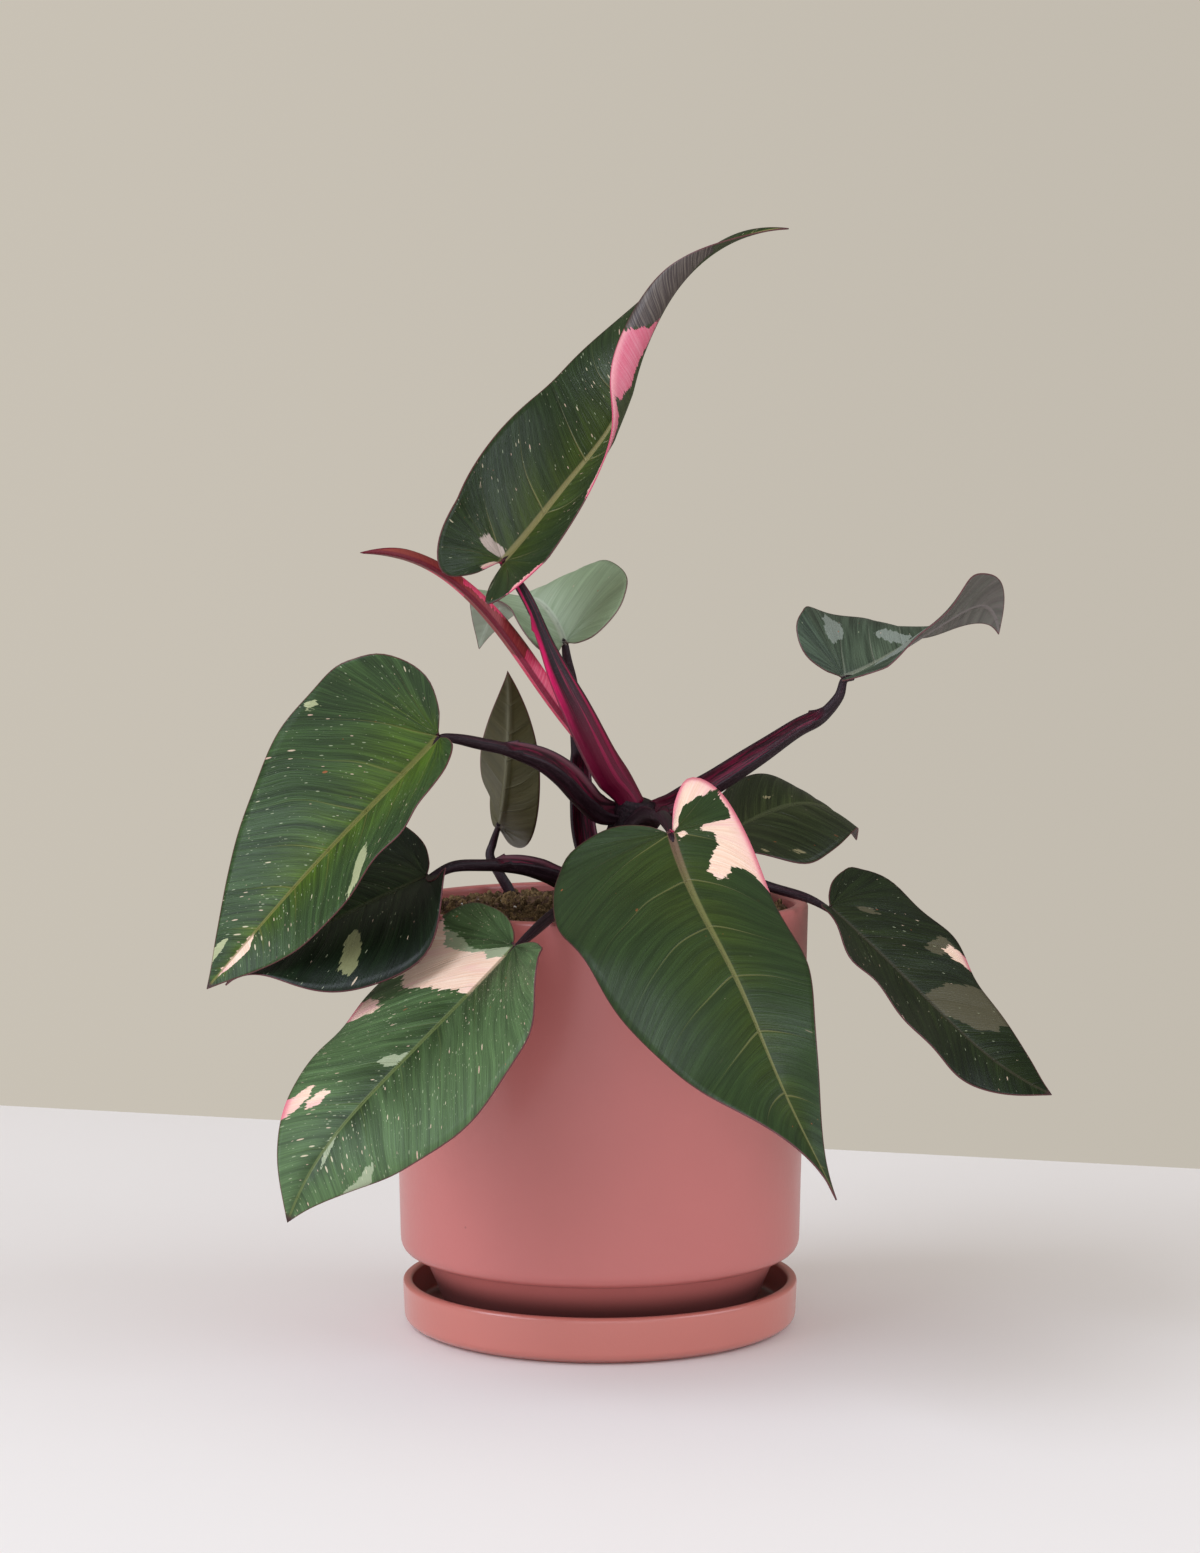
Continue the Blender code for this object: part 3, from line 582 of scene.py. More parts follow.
class Skin:
    """The flat grid of a blade, with what its pattern needs at each point."""

    def __init__(self, leaf):
        self.leaf = leaf
        self.where = {}
        self.flat, self.vein, self.faces, self.margins = [], [], [], []
        shares = (np.arange(1, COLUMNS + 1) / COLUMNS) ** 1.3
        tip = self.point(leaf.length, 0, 0, leaf.length, 0, 1)
        for half, sign in ((0, 1), (1, -1)):
            grid = []
            for place, end, tangent in zip(*vein_rows(leaf, half)):
                reach = float(np.hypot(end[0] - place[0], end[1]))
                row = [self.point(place[0], 0, reach, place[1], 0, sign)]
                for t in shares:
                    along = place[0] + (end[0] - place[0]) * (t + (t * t - t) * VEIN_ARCH)
                    across = end[1] * t
                    gap = end - np.array((along, across))
                    edge = abs(gap[0] * tangent[1] - gap[1] * tangent[0])
                    row.append(self.point(along, sign * across, edge, place[1], t, sign))
                grid.append(row)
            grid.append([tip] * (COLUMNS + 1))
            for low, high in zip(grid, grid[1:]):
                for j in range(COLUMNS):
                    quad = (low[j], low[j + 1], high[j + 1], high[j])
                    corners = [c for i, c in enumerate(quad) if c not in quad[:i]]
                    if len(corners) > 2:
                        self.faces.append(corners if half else corners[::-1])
            self.margins.append(grid[0][1:] + [row[-1] for row in grid[1:-1]])
        base = self.where[(0.0, 0.0)]
        self.loop = [base] + self.margins[1] + [tip] + self.margins[0][::-1]
        self.flat, self.vein = np.array(self.flat), np.array(self.vein)

    def point(self, along, across, edge, position, share, sign):
        key = (round(float(along), 3), round(float(across), 3))
        if key not in self.where:
            self.where[key] = len(self.flat)
            self.flat.append((along, across, edge))
            self.vein.append((position, share, sign))
        return self.where[key]


def face_normals(points, faces):
    normals = np.zeros_like(points)
    for face in faces:
        a, b, c = (points[i] for i in (face[0], face[1], face[-1]))
        normal = np.cross(b - a, c - a)
        normals[face] += normal
    return normals / (np.linalg.norm(normals, axis=1)[:, None] + 1e-12)


def patch_field(key, kind, skin):
    """Millimetres inside the nearest patch of a kind; below 0 outside."""
    position, share, sign = skin.vein.T
    width = LEAVES[key].half_width
    places = np.stack([position, share * width], 1)
    field = np.full(len(places), -PATCH_REACH)
    for patch in PATCHES.get(key, ()):
        if patch.kind != kind:
            continue
        corners = [(along, out * width) for along, out in patch.corners]
        inside = outline_distance(places, corners)
        on_rib = np.stack([position, 0 * share], 1)
        beyond = np.minimum(outline_distance(on_rib, corners), 0)
        inside = np.where(sign == patch.half, inside,
                          beyond - np.abs(skin.flat[:, 1]))
        field = np.maximum(field, inside)
    return np.clip(field, -PATCH_REACH, PATCH_REACH)


def blade_piece(key, thickness, pleat):
    """The finished blade: pleated between its side veins, channelled along
    the midrib above and ribbed below."""
    leaf = LEAVES[key]
    skin = Skin(leaf)
    along, across, edge = skin.flat.T
    position, share, _ = skin.vein.T
    middle = bend(leaf, along, across)
    normals = face_normals(middle, skin.faces)
    spacing = leaf.length / VEIN_PAIRS
    between = np.abs(np.sin(pi * position / spacing)) ** .8
    fade = smooth_step(.02, .3, share) * smooth_step(0, PLEAT_FADE, edge)
    narrow = np.clip(1.15 - along / leaf.length, .15, 1)
    pleats = pleat / MM * (between - .6) * fade * (key != "unfurling")
    channel = -CHANNEL_DEPTH * np.exp(-(across / CHANNEL_REACH) ** 2) * narrow
    rib = RIB_HEIGHT * np.exp(-(across / RIB_REACH) ** 2) * narrow
    upper = middle + normals * (pleats + channel)[:, None]
    lower = middle + normals * (pleats - thickness / MM - rib)[:, None]
    count = len(middle)
    mesh = bpy.data.meshes.new(key + "_leaf_blade")
    faces = [tuple(f) for f in skin.faces]
    under = [tuple(i + count for i in reversed(f)) for f in faces]
    rim = [(b, a, a + count, b + count)
           for a, b in zip(skin.loop, skin.loop[1:] + skin.loop[:1])]
    mesh.from_pydata([tuple(p) for p in np.vstack([upper, lower]) * MM], [],
                     faces + under + rim)
    slots = [0] * len(faces) + [1] * (len(under) + len(rim))
    mesh.polygons.foreach_set("material_index", slots)
    fields = np.stack([patch_field(key, "pink", skin),
                       patch_field(key, "grey", skin), along / leaf.length], 1)
    for name, notes in (("flat", skin.flat), ("vein", skin.vein), ("patches", fields)):
        store(mesh, name, np.vstack([notes, notes]))
    mesh.shade_smooth()
    return new_object(key + "_blade", mesh)


def store(mesh, name, values):
    """Keep three numbers at each point, for the material to read."""
    attribute = mesh.attributes.new(name, "FLOAT_VECTOR", "POINT")
    attribute.data.foreach_set("vector", np.asarray(values, np.float32).ravel())


def new_object(name, mesh):
    mesh.validate()
    piece = bpy.data.objects.new(name, mesh)
    bpy.context.scene.collection.objects.link(piece)
    return piece


# Stalks
FLARE = .3            # how much wider a stalk is where it is a channel
WING_TURN = 30        # degrees of its round that rise into each wing
WINGS = (.5, .9)      # how far the wings stand up along the sheath and at its end
SHEATH_CLOSES = .06   # share of the path over which the channel closes
FOOT_OPENS = .12      # and the share over which it opens from the foot


def stalk_section(radius, groove, wing):
    """A stalk's outline as (sideways, up, inside): round where groove is 0,
    and at 1 a deep channel between two thin wings."""
    outer = []
    for angle in np.linspace(180 - WING_TURN, 360 + WING_TURN, 25):
        rise = max(0, (180 - angle) / WING_TURN, (angle - 360) / WING_TURN)
        x = cos(radians(angle)) * (1 + FLARE * groove)
        outer.append((x * radius, (sin(radians(angle)) + wing * groove * rise)
                      * radius, 0.0))
    inner = []
    for share in np.linspace(.80, -.80, 15):
        top = sqrt(1 - share * share)
        channel = -.2 + 1.25 * share * share
        x = share * (1 + FLARE * groove)
        inner.append((x * radius, (top + (channel - top) * groove) * radius,
                      groove))
    return outer + inner


def stalk_piece(name, path, radii, sheath=0.0, opens=(0, 0, 1), rings=110):
    """Sweep the stalk section along a path and close both ends."""
    line = smooth_path(path, rings)
    length = float(np.sum(np.linalg.norm(np.diff(line, axis=0), axis=1)))
    points, notes, size = [], [], 0
    for i in range(rings):
        share = i / (rings - 1)
        tangent = line[min(i + 1, rings - 1)] - line[max(i - 1, 0)]
        tangent /= np.linalg.norm(tangent)
        side = np.cross(tangent, opens)
        side /= np.linalg.norm(side)
        up = np.cross(side, tangent)
        radius = float(spread(radii, share))
        groove = 0.0
        if sheath:
            groove = float(np.clip((sheath - share) / SHEATH_CLOSES + .5, 0, 1))
            groove *= float(np.clip(share / FOOT_OPENS, 0, 1))
        wing = WINGS[0] if share < sheath - SHEATH_CLOSES / 2 else WINGS[1]
        section = stalk_section(radius, groove, wing)
        size = len(section)
        for j, (x, y, inside) in enumerate(section):
            points.append(line[i] + side * x + up * y)
            notes.append((j / size, share * length, inside))
    faces = []
    for i in range(rings - 1):
        for j in range(size):
            k = (j + 1) % size
            faces.append((i * size + j, i * size + k,
                          (i + 1) * size + k, (i + 1) * size + j))
    for ring, turn in ((0, -1), (rings - 1, 1)):
        loop = [ring * size + j for j in range(size)][::turn]
        centre = len(points)
        points.append(np.mean([points[j] for j in loop], axis=0))
        notes.append((0, notes[loop[0]][1], 0))
        faces += [(a, b, centre) for a, b in zip(loop, loop[1:] + loop[:1])]
    mesh = bpy.data.meshes.new(name)
    mesh.from_pydata([tuple(np.asarray(p) * MM) for p in points], [], faces)
    store(mesh, "stalk", notes)
    mesh.shade_smooth()
    face_outwards(mesh)
    return new_object(name, mesh)


def face_outwards(mesh):
    work = bmesh.new()
    work.from_mesh(mesh)
    bmesh.ops.recalc_face_normals(work, faces=work.faces)
    work.to_mesh(mesh)
    work.free()


# Shader nodes
class Nodes:
    """Adds nodes to a tree and wires their inputs, sockets or plain values."""

    def __init__(self, tree):
        self.tree = tree

    def add(self, kind, inputs=None, **settings):
        node = self.tree.nodes.new(kind)
        for name, value in settings.items():
            setattr(node, name, value)
        for name, value in (inputs or {}).items():
            self.wire(node.inputs[name], value)
        return node

    def wire(self, socket, value):
        if isinstance(value, bpy.types.NodeSocket):
            self.tree.links.new(value, socket)
        elif socket.type == "RGBA" and len(value) == 3:
            socket.default_value = (*value, 1)
        else:
            socket.default_value = value

    def math(self, operation, *values):
        node = self.add("ShaderNodeMath", operation=operation)
        for socket, value in zip(node.inputs, values):
            self.wire(socket, value)
        return node.outputs[0]

    def times(self, value, *others):
        for other in others:
            value = self.math("MULTIPLY", value, other)
        return value

    def scaled(self, value, factor, plus):
        return self.math("MULTIPLY_ADD", value, factor, plus)

    def gap(self, a, b):
        """How far apart two values are."""
        return self.math("ABSOLUTE", self.math("SUBTRACT", a, b))

    def step(self, value, low, high, start=0.0, end=1.0):
        """value from low..high, eased, to start..end."""
        node = self.add("ShaderNodeMapRange", {"Value": value, "From Min": low,
                        "From Max": high, "To Min": start, "To Max": end},
                        interpolation_type="SMOOTHSTEP")
        return node.outputs[0]

    def mix(self, factor, a, b, blend="MIX"):
        node = self.add("ShaderNodeMix", data_type="RGBA", blend_type=blend)
        self.wire(node.inputs["Factor"], factor)
        self.wire(node.inputs[6], a)
        self.wire(node.inputs[7], b)
        return node.outputs[2]

    def dim(self, colour, tone):
        """A colour times a value."""
        return self.mix(1.0, colour, self.join(tone, tone, tone), blend="MULTIPLY")

    def noise(self, vector, scale, detail=3.0, roughness=.5):
        node = self.add("ShaderNodeTexNoise", {"Vector": vector, "Scale": scale,
                        "Detail": detail, "Roughness": roughness})
        return node.outputs["Fac"]

    def fibres(self, place, fine, long, detail, roughness):
        """Noise drawn out along the side veins.  place is (vein position, way
        out, offset); fine and long are its changes a mm across and along them."""
        position, out, offset = place
        spot = self.join(self.times(position, fine), self.times(out, long), offset)
        return self.noise(spot, 1.0, detail, roughness)

    def join(self, x=0.0, y=0.0, z=0.0):
        return self.add("ShaderNodeCombineXYZ", {"X": x, "Y": y, "Z": z}).outputs[0]

    def split(self, vector):
        return self.add("ShaderNodeSeparateXYZ", {"Vector": vector}).outputs

    def attribute(self, name):
        """The three numbers that the mesh keeps at each point under a name."""
        return self.split(self.add("ShaderNodeAttribute", attribute_name=name).outputs["Vector"])

    def place(self):
        return self.add("ShaderNodeTexCoord").outputs["Object"]

    def group(self, name, **inputs):
        """A shared group's outputs, with its inputs set."""
        node = self.add("ShaderNodeGroup", node_tree=shared(name))
        for label, value in inputs.items():
            self.wire(node.inputs[label.replace("_", " ")], value)
        return node.outputs


def toned(colour, factor):
    """A colour made darker or lighter, but no lighter than white."""
    return tuple(min(1, c * factor) for c in colour)


def new_group(name, inputs):
    """An empty shader group with named values to set: its nodes and inputs."""
    tree = bpy.data.node_groups.new(name, "ShaderNodeTree")
    for label, value in inputs.items():
        socket = tree.interface.new_socket(label, in_out="INPUT",
                                           socket_type="NodeSocketFloat")
        socket.default_value = value
    return Nodes(tree), tree.nodes.new("NodeGroupInput").outputs


def finished_group(n, outputs):
    """Give a group its named outputs."""
    for label in outputs:
        n.tree.interface.new_socket(label, in_out="OUTPUT", socket_type="NodeSocketFloat")
    leave = n.tree.nodes.new("NodeGroupOutput").inputs
    for label, value in outputs.items():
        n.wire(leave[label], value)
    return n.tree


def vein_group():
    """Midrib, side veins and fine streaks, from the blade's own map."""
    n, entry = new_group("Leaf veins", {"Seed": 0.0, "Vein Spacing": 10.0})
    along, across, _ = n.attribute("flat")
    position, share, half = n.attribute("vein")
    out = n.math("ABSOLUTE", across)
    offset = n.scaled(half, 37.0, entry["Seed"])
    wander = n.noise(n.join(along, across, offset), .05, 0)
    bent = n.math("ADD", position, n.scaled(wander, 3.6, -1.8))
    rib_width = n.step(along, 0.0, 130.0, 1.6, .42)
    rib = n.step(n.math("DIVIDE", out, rib_width), .6, 1.05, 1.0, 0.0)
    phase = n.math("DIVIDE", bent, entry["Vein Spacing"])
    distance = n.times(n.gap(phase, n.math("ROUND", phase)), entry["Vein Spacing"])
    side_width = n.step(share, 0.0, .8, .52, .24)
    side = n.times(n.step(n.math("DIVIDE", distance, side_width), .3, 1.2, 1.0, 0.0),
                   n.step(share, .1, .95, 1.0, .1))
    place = (bent, out, offset)
    streaks = n.fibres(place, 1.7, .06, 3, .6)
    return finished_group(n, {
        "Midrib": rib, "Side Veins": side, "Streaks": streaks,
        "Bands": n.fibres(place, .36, .035, 2, .5),
        "Mottle": n.fibres(place, .13, .03, 3, .5),
        "Height": n.scaled(side, -.8, streaks)})


def variegation_group():
    """Patches without green, with crisp edges that are ragged along the veins."""
    n, entry = new_group("Variegation", {"Seed": 0.0})
    pink, grey, _ = n.attribute("patches")
    across = n.attribute("flat")[1]
    position, _, half = n.attribute("vein")
    place = (position, n.math("ABSOLUTE", across), n.scaled(half, 19.0, entry["Seed"]))
    spikes = n.fibres(place, .9, .22, 4, .6)
    blots = n.fibres(place, .30, .25, 1, .5)
    ragged = n.math("ADD", n.scaled(spikes, 4.6, -2.3), n.scaled(blots, 3.0, -1.5))
    pink_edge = n.math("ADD", pink, ragged)
    grey_edge = n.math("ADD", grey, ragged)
    return finished_group(n, {"Pink": n.step(pink_edge, -.1, .1),
                              "Grey": n.step(grey_edge, -.14, .14),
                              "Near": n.step(pink_edge, -7.0, -1.0)})


def fleck_group():
    """Small pale dashes that lie along the veins."""
    n, entry = new_group("Leaf flecks", {"Seed": 0.0, "Share": .3, "Length": 6.0,
                                         "Width": 2.4, "Crowding": .5})
    along, across, _ = n.attribute("flat")
    position, share, half = n.attribute("vein")
    out = n.math("ABSOLUTE", across)
    offset = n.scaled(half, 23.0, entry["Seed"])
    warp = n.noise(n.join(position, out, offset), .9, 1)
    cell = n.join(n.math("DIVIDE", position, entry["Width"]),
                  n.math("ADD", n.math("DIVIDE", out, entry["Length"]),
                         n.times(warp, .12)), offset)
    cells = n.add("ShaderNodeTexVoronoi", {"Vector": cell, "Scale": 1.0,
                                           "Randomness": 1.0}, voronoi_dimensions="2D")
    chance, girth, tint = n.split(cells.outputs["Color"])
    crowd = n.noise(n.join(along, across, offset), .04, 2)
    patchy = n.step(crowd, .38, .64, n.math("SUBTRACT", 1.0, entry["Crowding"]), 1.5)
    allowed = n.times(entry["Share"], patchy)
    picked = n.step(n.math("SUBTRACT", allowed, chance), .0, .01)
    size = n.scaled(n.math("POWER", girth, 3.0), .16, .055)
    dot = n.step(n.math("DIVIDE", cells.outputs["Distance"], size), .75, 1.1, 1.0, 0.0)
    clear_of_midrib = n.step(share, .02, .08)
    return finished_group(n, {"Flecks": n.times(dot, picked, clear_of_midrib),
                              "Tint": tint})


def grain_group():
    """Fine unevenness of a surface in the object's own space."""
    n, entry = new_group("Surface grain", {"Size": 1000.0, "Patches": 60.0})
    place = n.place()
    fine = n.noise(place, entry["Size"], 3, .6)
    broad = n.noise(place, entry["Patches"], 2, .5)
    return finished_group(n, {"Fine": fine, "Broad": broad,
                              "Height": n.scaled(broad, .5, fine)})


def streak_group():
    """Streaks and stripes that run along a stalk, from its own map."""
    n, entry = new_group("Stalk streaks", {"Seed": 0.0, "Count": 14.0})
    around, along, inside = n.attribute("stalk")
    turn = n.times(around, 2 * pi)
    x, y = n.math("COSINE", turn), n.math("SINE", turn)
    fine = n.join(n.times(x, entry["Count"]), n.times(y, entry["Count"]),
                  n.scaled(along, .16, entry["Seed"]))
    wide = n.join(n.times(x, 3.0), n.times(y, 3.0), n.scaled(along, .012, entry["Seed"]))
    wing_left = n.step(n.gap(around, .61), .0, .045, 1.0, 0.0)
    wing_right = n.step(n.math("MINIMUM", around, n.math("SUBTRACT", 1.0, around)),
                        .0, .04, 1.0, 0.0)
    return finished_group(n, {
        "Streaks": n.noise(fine, .5, 4, .65), "Stripes": n.noise(wide, 1.0, 2, .55),
        "Inside": inside, "Wing": n.math("MAXIMUM", wing_left, wing_right)})


GROUPS = {}


def shared(name):
    """A shader group, built the first time that it is asked for."""
    if name not in GROUPS:
        GROUPS[name] = {"veins": vein_group, "variegation": variegation_group,
                        "flecks": fleck_group, "grain": grain_group,
                        "streaks": streak_group}[name]()
    return GROUPS[name]


# Materials: their colours (linear).  A pair holds the darker and the lighter
# tone of what is streaked or mottled.
FLECK_CREAM, FLECK_PINK = (.62, .58, .40), (.70, .45, .36)
FLECK_DUST, FLECK_RUST = (.45, .50, .33), (.42, .10, .035)
CREAMS = ((.82, .56, .42), (.88, .68, .55))
ROSE = (.84, .50, .48)
PALE_RIB = (.55, .36, .26)
LEAF_RIM, CRIMSON_RIM = (.13, .030, .040), (.50, .020, .10)
LEAF_TIP = (.055, .026, .024)
UNDER_BLOTCH, UNDER_GREY = (.16, .17, .13), (.050, .034, .036)
UNDER_PINK, UNDER_PINK_MARGIN = (.60, .19, .25), (.80, .42, .43)
UNDER_PINK_RIB = (.55, .07, .14)
BRICKS = ((.27, .026, .034), (.35, .052, .052))
BRICK_TIP = (.25, .052, .040)
BRIGHT_PINKS = ((.74, .036, .12), (.82, .12, .21))
FOLD_LINE = (.13, .006, .022)
SPECKLE = (.080, .050, .060)
# painted highlight: light lines along the edges of a sheath's wings
WING_HIGHLIGHT, YOUNG_WING_HIGHLIGHT = (.22, .085, .110), (.46, .05, .14)
BARKS = ((.050, .030, .018), (.060, .062, .026))
BARK_RING = (.14, .095, .055)
STEM_TOPS = ((.012, .005, .008), (.030, .012, .018))
EARTHS = ((.050, .026, .016), (.125, .072, .046))
MOSSES = ((.056, .034, .014), (.170, .110, .050))
GRITS = ((.55, .52, .46), (.70, .68, .62))

BAND_BESIDE_CHANNEL = .595    # share of the way round a stalk
STEM_TOP_FROM = (.152, .170)  # heights between which the bark turns purple, m
# painted shade at the pot's foot: within this radius, none above the first height and full below
# the second, in m
POT_FOOT_PAINTED_SHADE = (.066, .0260, .0150)


def new_material(name, roughness=.5, specular=.5):
    material = bpy.data.materials.new(name)
    material.use_nodes = True
    shader = material.node_tree.nodes["Principled BSDF"]
    shader.inputs["Roughness"].default_value = roughness
    shader.inputs["Specular IOR Level"].default_value = specular
    return material, Nodes(material.node_tree), shader


def paint(n, shader, colour, height, depth):
    """Wire a material's colour, and raise its surface by height (0..1) times
    depth in metres."""
    n.wire(shader.inputs["Base Color"], colour)
    raised = n.add("ShaderNodeBump", {"Height": height, "Distance": depth,
                                      "Strength": 1.0})
    n.wire(shader.inputs["Normal"], raised.outputs[0])


def leaf_material(key, seed, settings):
    """The upper side of one leaf."""
    look = LOOKS[key]
    spacing = LEAVES[key].length / VEIN_PAIRS
    blush = settings.blush[:]
    material, n, shader = new_material(key + " leaf, upper side", look.roughness, .28)
    veins = n.group("veins", Seed=seed, Vein_Spacing=spacing)
    spots = n.group("variegation", Seed=seed)
    dashes = n.group("flecks", Seed=seed, Length=5.0, Width=1.8,
                     Share=n.scaled(spots["Near"], .2, look.flecks))
    dust = n.group("flecks", Seed=seed + 5, Share=look.dust, Length=2.6, Width=1.2,
                   Crowding=.3)
    rust = n.group("flecks", Seed=seed + 9, Share=.012, Length=3.0, Width=3.0,
                   Crowding=.3)
    grain = n.group("grain", Size=1400.0, Patches=45.0)
    along, _, edge = n.attribute("flat")
    share = n.attribute("vein")[1]

    # Greens, streaked and banded between the side veins
    by_midrib = n.times(n.step(share, -.1, .8, 1.0, .0),
                        n.step(veins["Mottle"], .30, .62, .25, 1.0))
    bold = look.streaks
    tone = n.times(n.step(veins["Streaks"], .25, .75, 1 - .36 * bold, 1 + .38 * bold),
                   n.step(veins["Bands"], .25, .75, 1 - .32 * bold, 1 + .38 * bold))
    green = n.dim(n.mix(by_midrib, look.deep, look.fresh), tone)
    green = n.mix(n.times(veins["Side Veins"], look.veins), green, look.rib)
    green = n.mix(n.times(spots["Grey"], .92), green,
                  n.mix(veins["Streaks"], toned(look.grey, .8), look.grey))
    fleck_colour = n.mix(dashes["Tint"], FLECK_CREAM, FLECK_PINK)
    green = n.mix(n.times(dashes["Flecks"], .85), green, fleck_colour)
    green = n.mix(n.times(dust["Flecks"], .55), green, FLECK_DUST)
    green = n.mix(n.times(rust["Flecks"], .8), green, FLECK_RUST)

    # Patches without green: cream in the middle, rosier towards the margin
    fine = n.step(veins["Streaks"], .38, .62)
    rosiness = n.math("MAXIMUM", n.step(edge, .0, 7.0, 1.0, .0),
                      n.step(veins["Mottle"], .48, .68))
    pale = n.mix(rosiness, n.mix(fine, *CREAMS), n.mix(fine, settings.pale[:], ROSE))
    colour = n.mix(spots["Pink"], green, pale)

    # Midrib, margin and tip
    rib_colour = n.mix(n.step(along, 2.0, 38.0), look.foot or look.rib, look.rib)
    rib_colour = n.mix(n.times(spots["Pink"], .6), rib_colour, PALE_RIB)
    colour = n.mix(n.times(veins["Midrib"], .85), colour, rib_colour)
    rim = n.step(edge, .10, .42, 1.0, 0.0)
    colour = n.mix(n.times(rim, .7), colour, n.mix(spots["Pink"], LEAF_RIM, blush))
    glow = n.times(spots["Pink"], n.step(edge, .2, 2.6, .75, 0.0))
    colour = n.mix(glow, colour, blush)
    tip = n.step(n.attribute("patches")[2], .970, .99)
    colour = n.mix(tip, colour, LEAF_TIP)
    rough = n.scaled(veins["Bands"], -.16,
                     n.scaled(grain["Broad"], .12, look.roughness + .04))
    n.wire(shader.inputs["Roughness"], rough)
    paint(n, shader, colour, n.scaled(grain["Fine"], .25, veins["Height"]), .00022)
    return material


def underside_material(key, seed, settings):
    """The back of one leaf: duller, with its midrib and veins raised."""
    look = LOOKS[key]
    spacing = LEAVES[key].length / VEIN_PAIRS
    material, n, shader = new_material(key + " leaf, underside", .42, .4)
    veins = n.group("veins", Seed=seed, Vein_Spacing=spacing)
    spots = n.group("variegation", Seed=seed)
    grain = n.group("grain", Size=1200.0, Patches=45.0)
    edge = n.attribute("flat")[2]
    main = look.under or tuple(settings.underside)
    greener = tuple((a + b) / 2 for a, b in zip(main, look.fresh))
    green = n.mix(n.step(veins["Streaks"], .35, .65), main, greener)
    bold = look.streaks
    green = n.dim(green, n.step(veins["Bands"], .25, .75, 1 - .28 * bold, 1 + .3 * bold))
    if look.under is None:
        green = n.mix(n.step(veins["Mottle"], .58, .66, 0.0, .45), green, UNDER_BLOTCH)
    half_green = n.mix(n.step(veins["Streaks"], .40, .62), UNDER_GREY,
                       toned(look.grey, .24))
    green = n.mix(n.times(spots["Grey"], .9), green, half_green)
    pink = n.mix(n.step(veins["Streaks"], .35, .7), toned(settings.blush, .72),
                 UNDER_PINK)
    pink = n.mix(n.step(edge, .5, 3.5, .55, 0.0), pink, UNDER_PINK_MARGIN)
    colour = n.mix(spots["Pink"], green, pink)
    ribs = n.math("MAXIMUM", veins["Midrib"], n.times(veins["Side Veins"], .3))
    rib_colour = n.mix(spots["Pink"], tuple(.02 + 1.2 * c for c in main), UNDER_PINK_RIB)
    colour = n.mix(ribs, colour, rib_colour)
    rim = n.step(edge, .10, .45, 1.0, 0.0)
    colour = n.mix(n.times(rim, .8), colour, n.mix(spots["Pink"], LEAF_RIM, CRIMSON_RIM))
    n.wire(shader.inputs["Roughness"], n.scaled(grain["Broad"], .16, .36))
    height = n.scaled(grain["Fine"], .3, n.times(veins["Height"], -1.0))
    paint(n, shader, colour, height, .00015)
    return material


def new_leaf_material():
    """The rolled new leaf: brick red with bright pink stretches."""
    material, n, shader = new_material("new leaf", .36, .28)
    veins = n.group("veins", Seed=3.0, Vein_Spacing=12.0)
    spots = n.group("variegation", Seed=3.0)
    _, across, edge = n.attribute("flat")
    share = n.attribute("patches")[2]
    fine = n.step(veins["Streaks"], .40, .62)
    brick = n.mix(n.step(share, .55, 1.0), n.mix(fine, *BRICKS), BRICK_TIP)
    colour = n.mix(spots["Pink"], brick, n.mix(fine, *BRIGHT_PINKS))
    fold = n.step(n.math("ABSOLUTE", across), .3, 1.0, 1.0, 0.0)
    rim = n.step(edge, .2, .6, 1.0, 0.0)
    line = n.math("MAXIMUM", n.times(fold, .8), rim)
    paint(n, shader, n.mix(line, colour, FOLD_LINE), veins["Streaks"], .00015)
    return material


def stalk_material(name, seed, settings, tint):
    """A stalk's skin, speckled and striped, and its sheath.  tint holds how
    much crimson shows in the stripes, and how far up the stalk (mm) a deep
    crimson foot reaches."""
    material, n, shader = new_material(name, .42, .26)
    glow, foot = tint
    young = glow > .5
    marks = n.group("streaks", Seed=seed, Count=12.0)
    grain = n.group("grain", Size=1500.0, Patches=120.0)
    around, along, _ = n.attribute("stalk")
    skin, sheath, crimson = (tuple(c) for c in (settings.skin, settings.sheath,
                                                settings.crimson))
    colour = n.mix(n.step(marks["Streaks"], .40, .66), skin,
                   tuple(c * 2.2 + .004 for c in skin))
    colour = n.mix(n.step(grain["Fine"], .56, .66, 0.0, .35), colour, SPECKLE)
    stripes = n.times(n.step(marks["Stripes"], .58, .66), glow * .7)
    inside = n.mix(n.step(marks["Streaks"], .45, .62, 0.0, .25 + .6 * glow), sheath,
                   crimson)
    if foot:
        colour = n.mix(n.step(along, foot * .4, foot * 1.1, .9, 0.0), colour,
                       toned(crimson, .26))
        stripes = n.times(stripes, n.step(along, 0.0, foot, .35, 1.0))
        inside = n.mix(n.step(along, foot * .5, foot, .85, 0.0), inside,
                       toned(crimson, .2))
    colour = n.mix(stripes, colour, crimson)
    if young:
        wavy = n.scaled(marks["Stripes"], .05, around)
        band = n.times(n.step(n.gap(wavy, BAND_BESIDE_CHANNEL), .015, .05, 1.0, 0.0),
                       n.step(along, foot * .5, foot, .15, 1.0))
        colour = n.mix(band, colour, n.mix(n.step(marks["Streaks"], .4, .6), crimson,
                                           toned(crimson, 1.5)))
    colour = n.mix(marks["Inside"], colour, inside)
    # painted highlight along the edges of the sheath's wings
    wing = n.times(marks["Wing"], marks["Inside"])
    colour = n.mix(wing, colour, YOUNG_WING_HIGHLIGHT if young else WING_HIGHLIGHT)
    paint(n, shader, colour, n.scaled(grain["Fine"], .3, marks["Streaks"]), .00025)
    return material


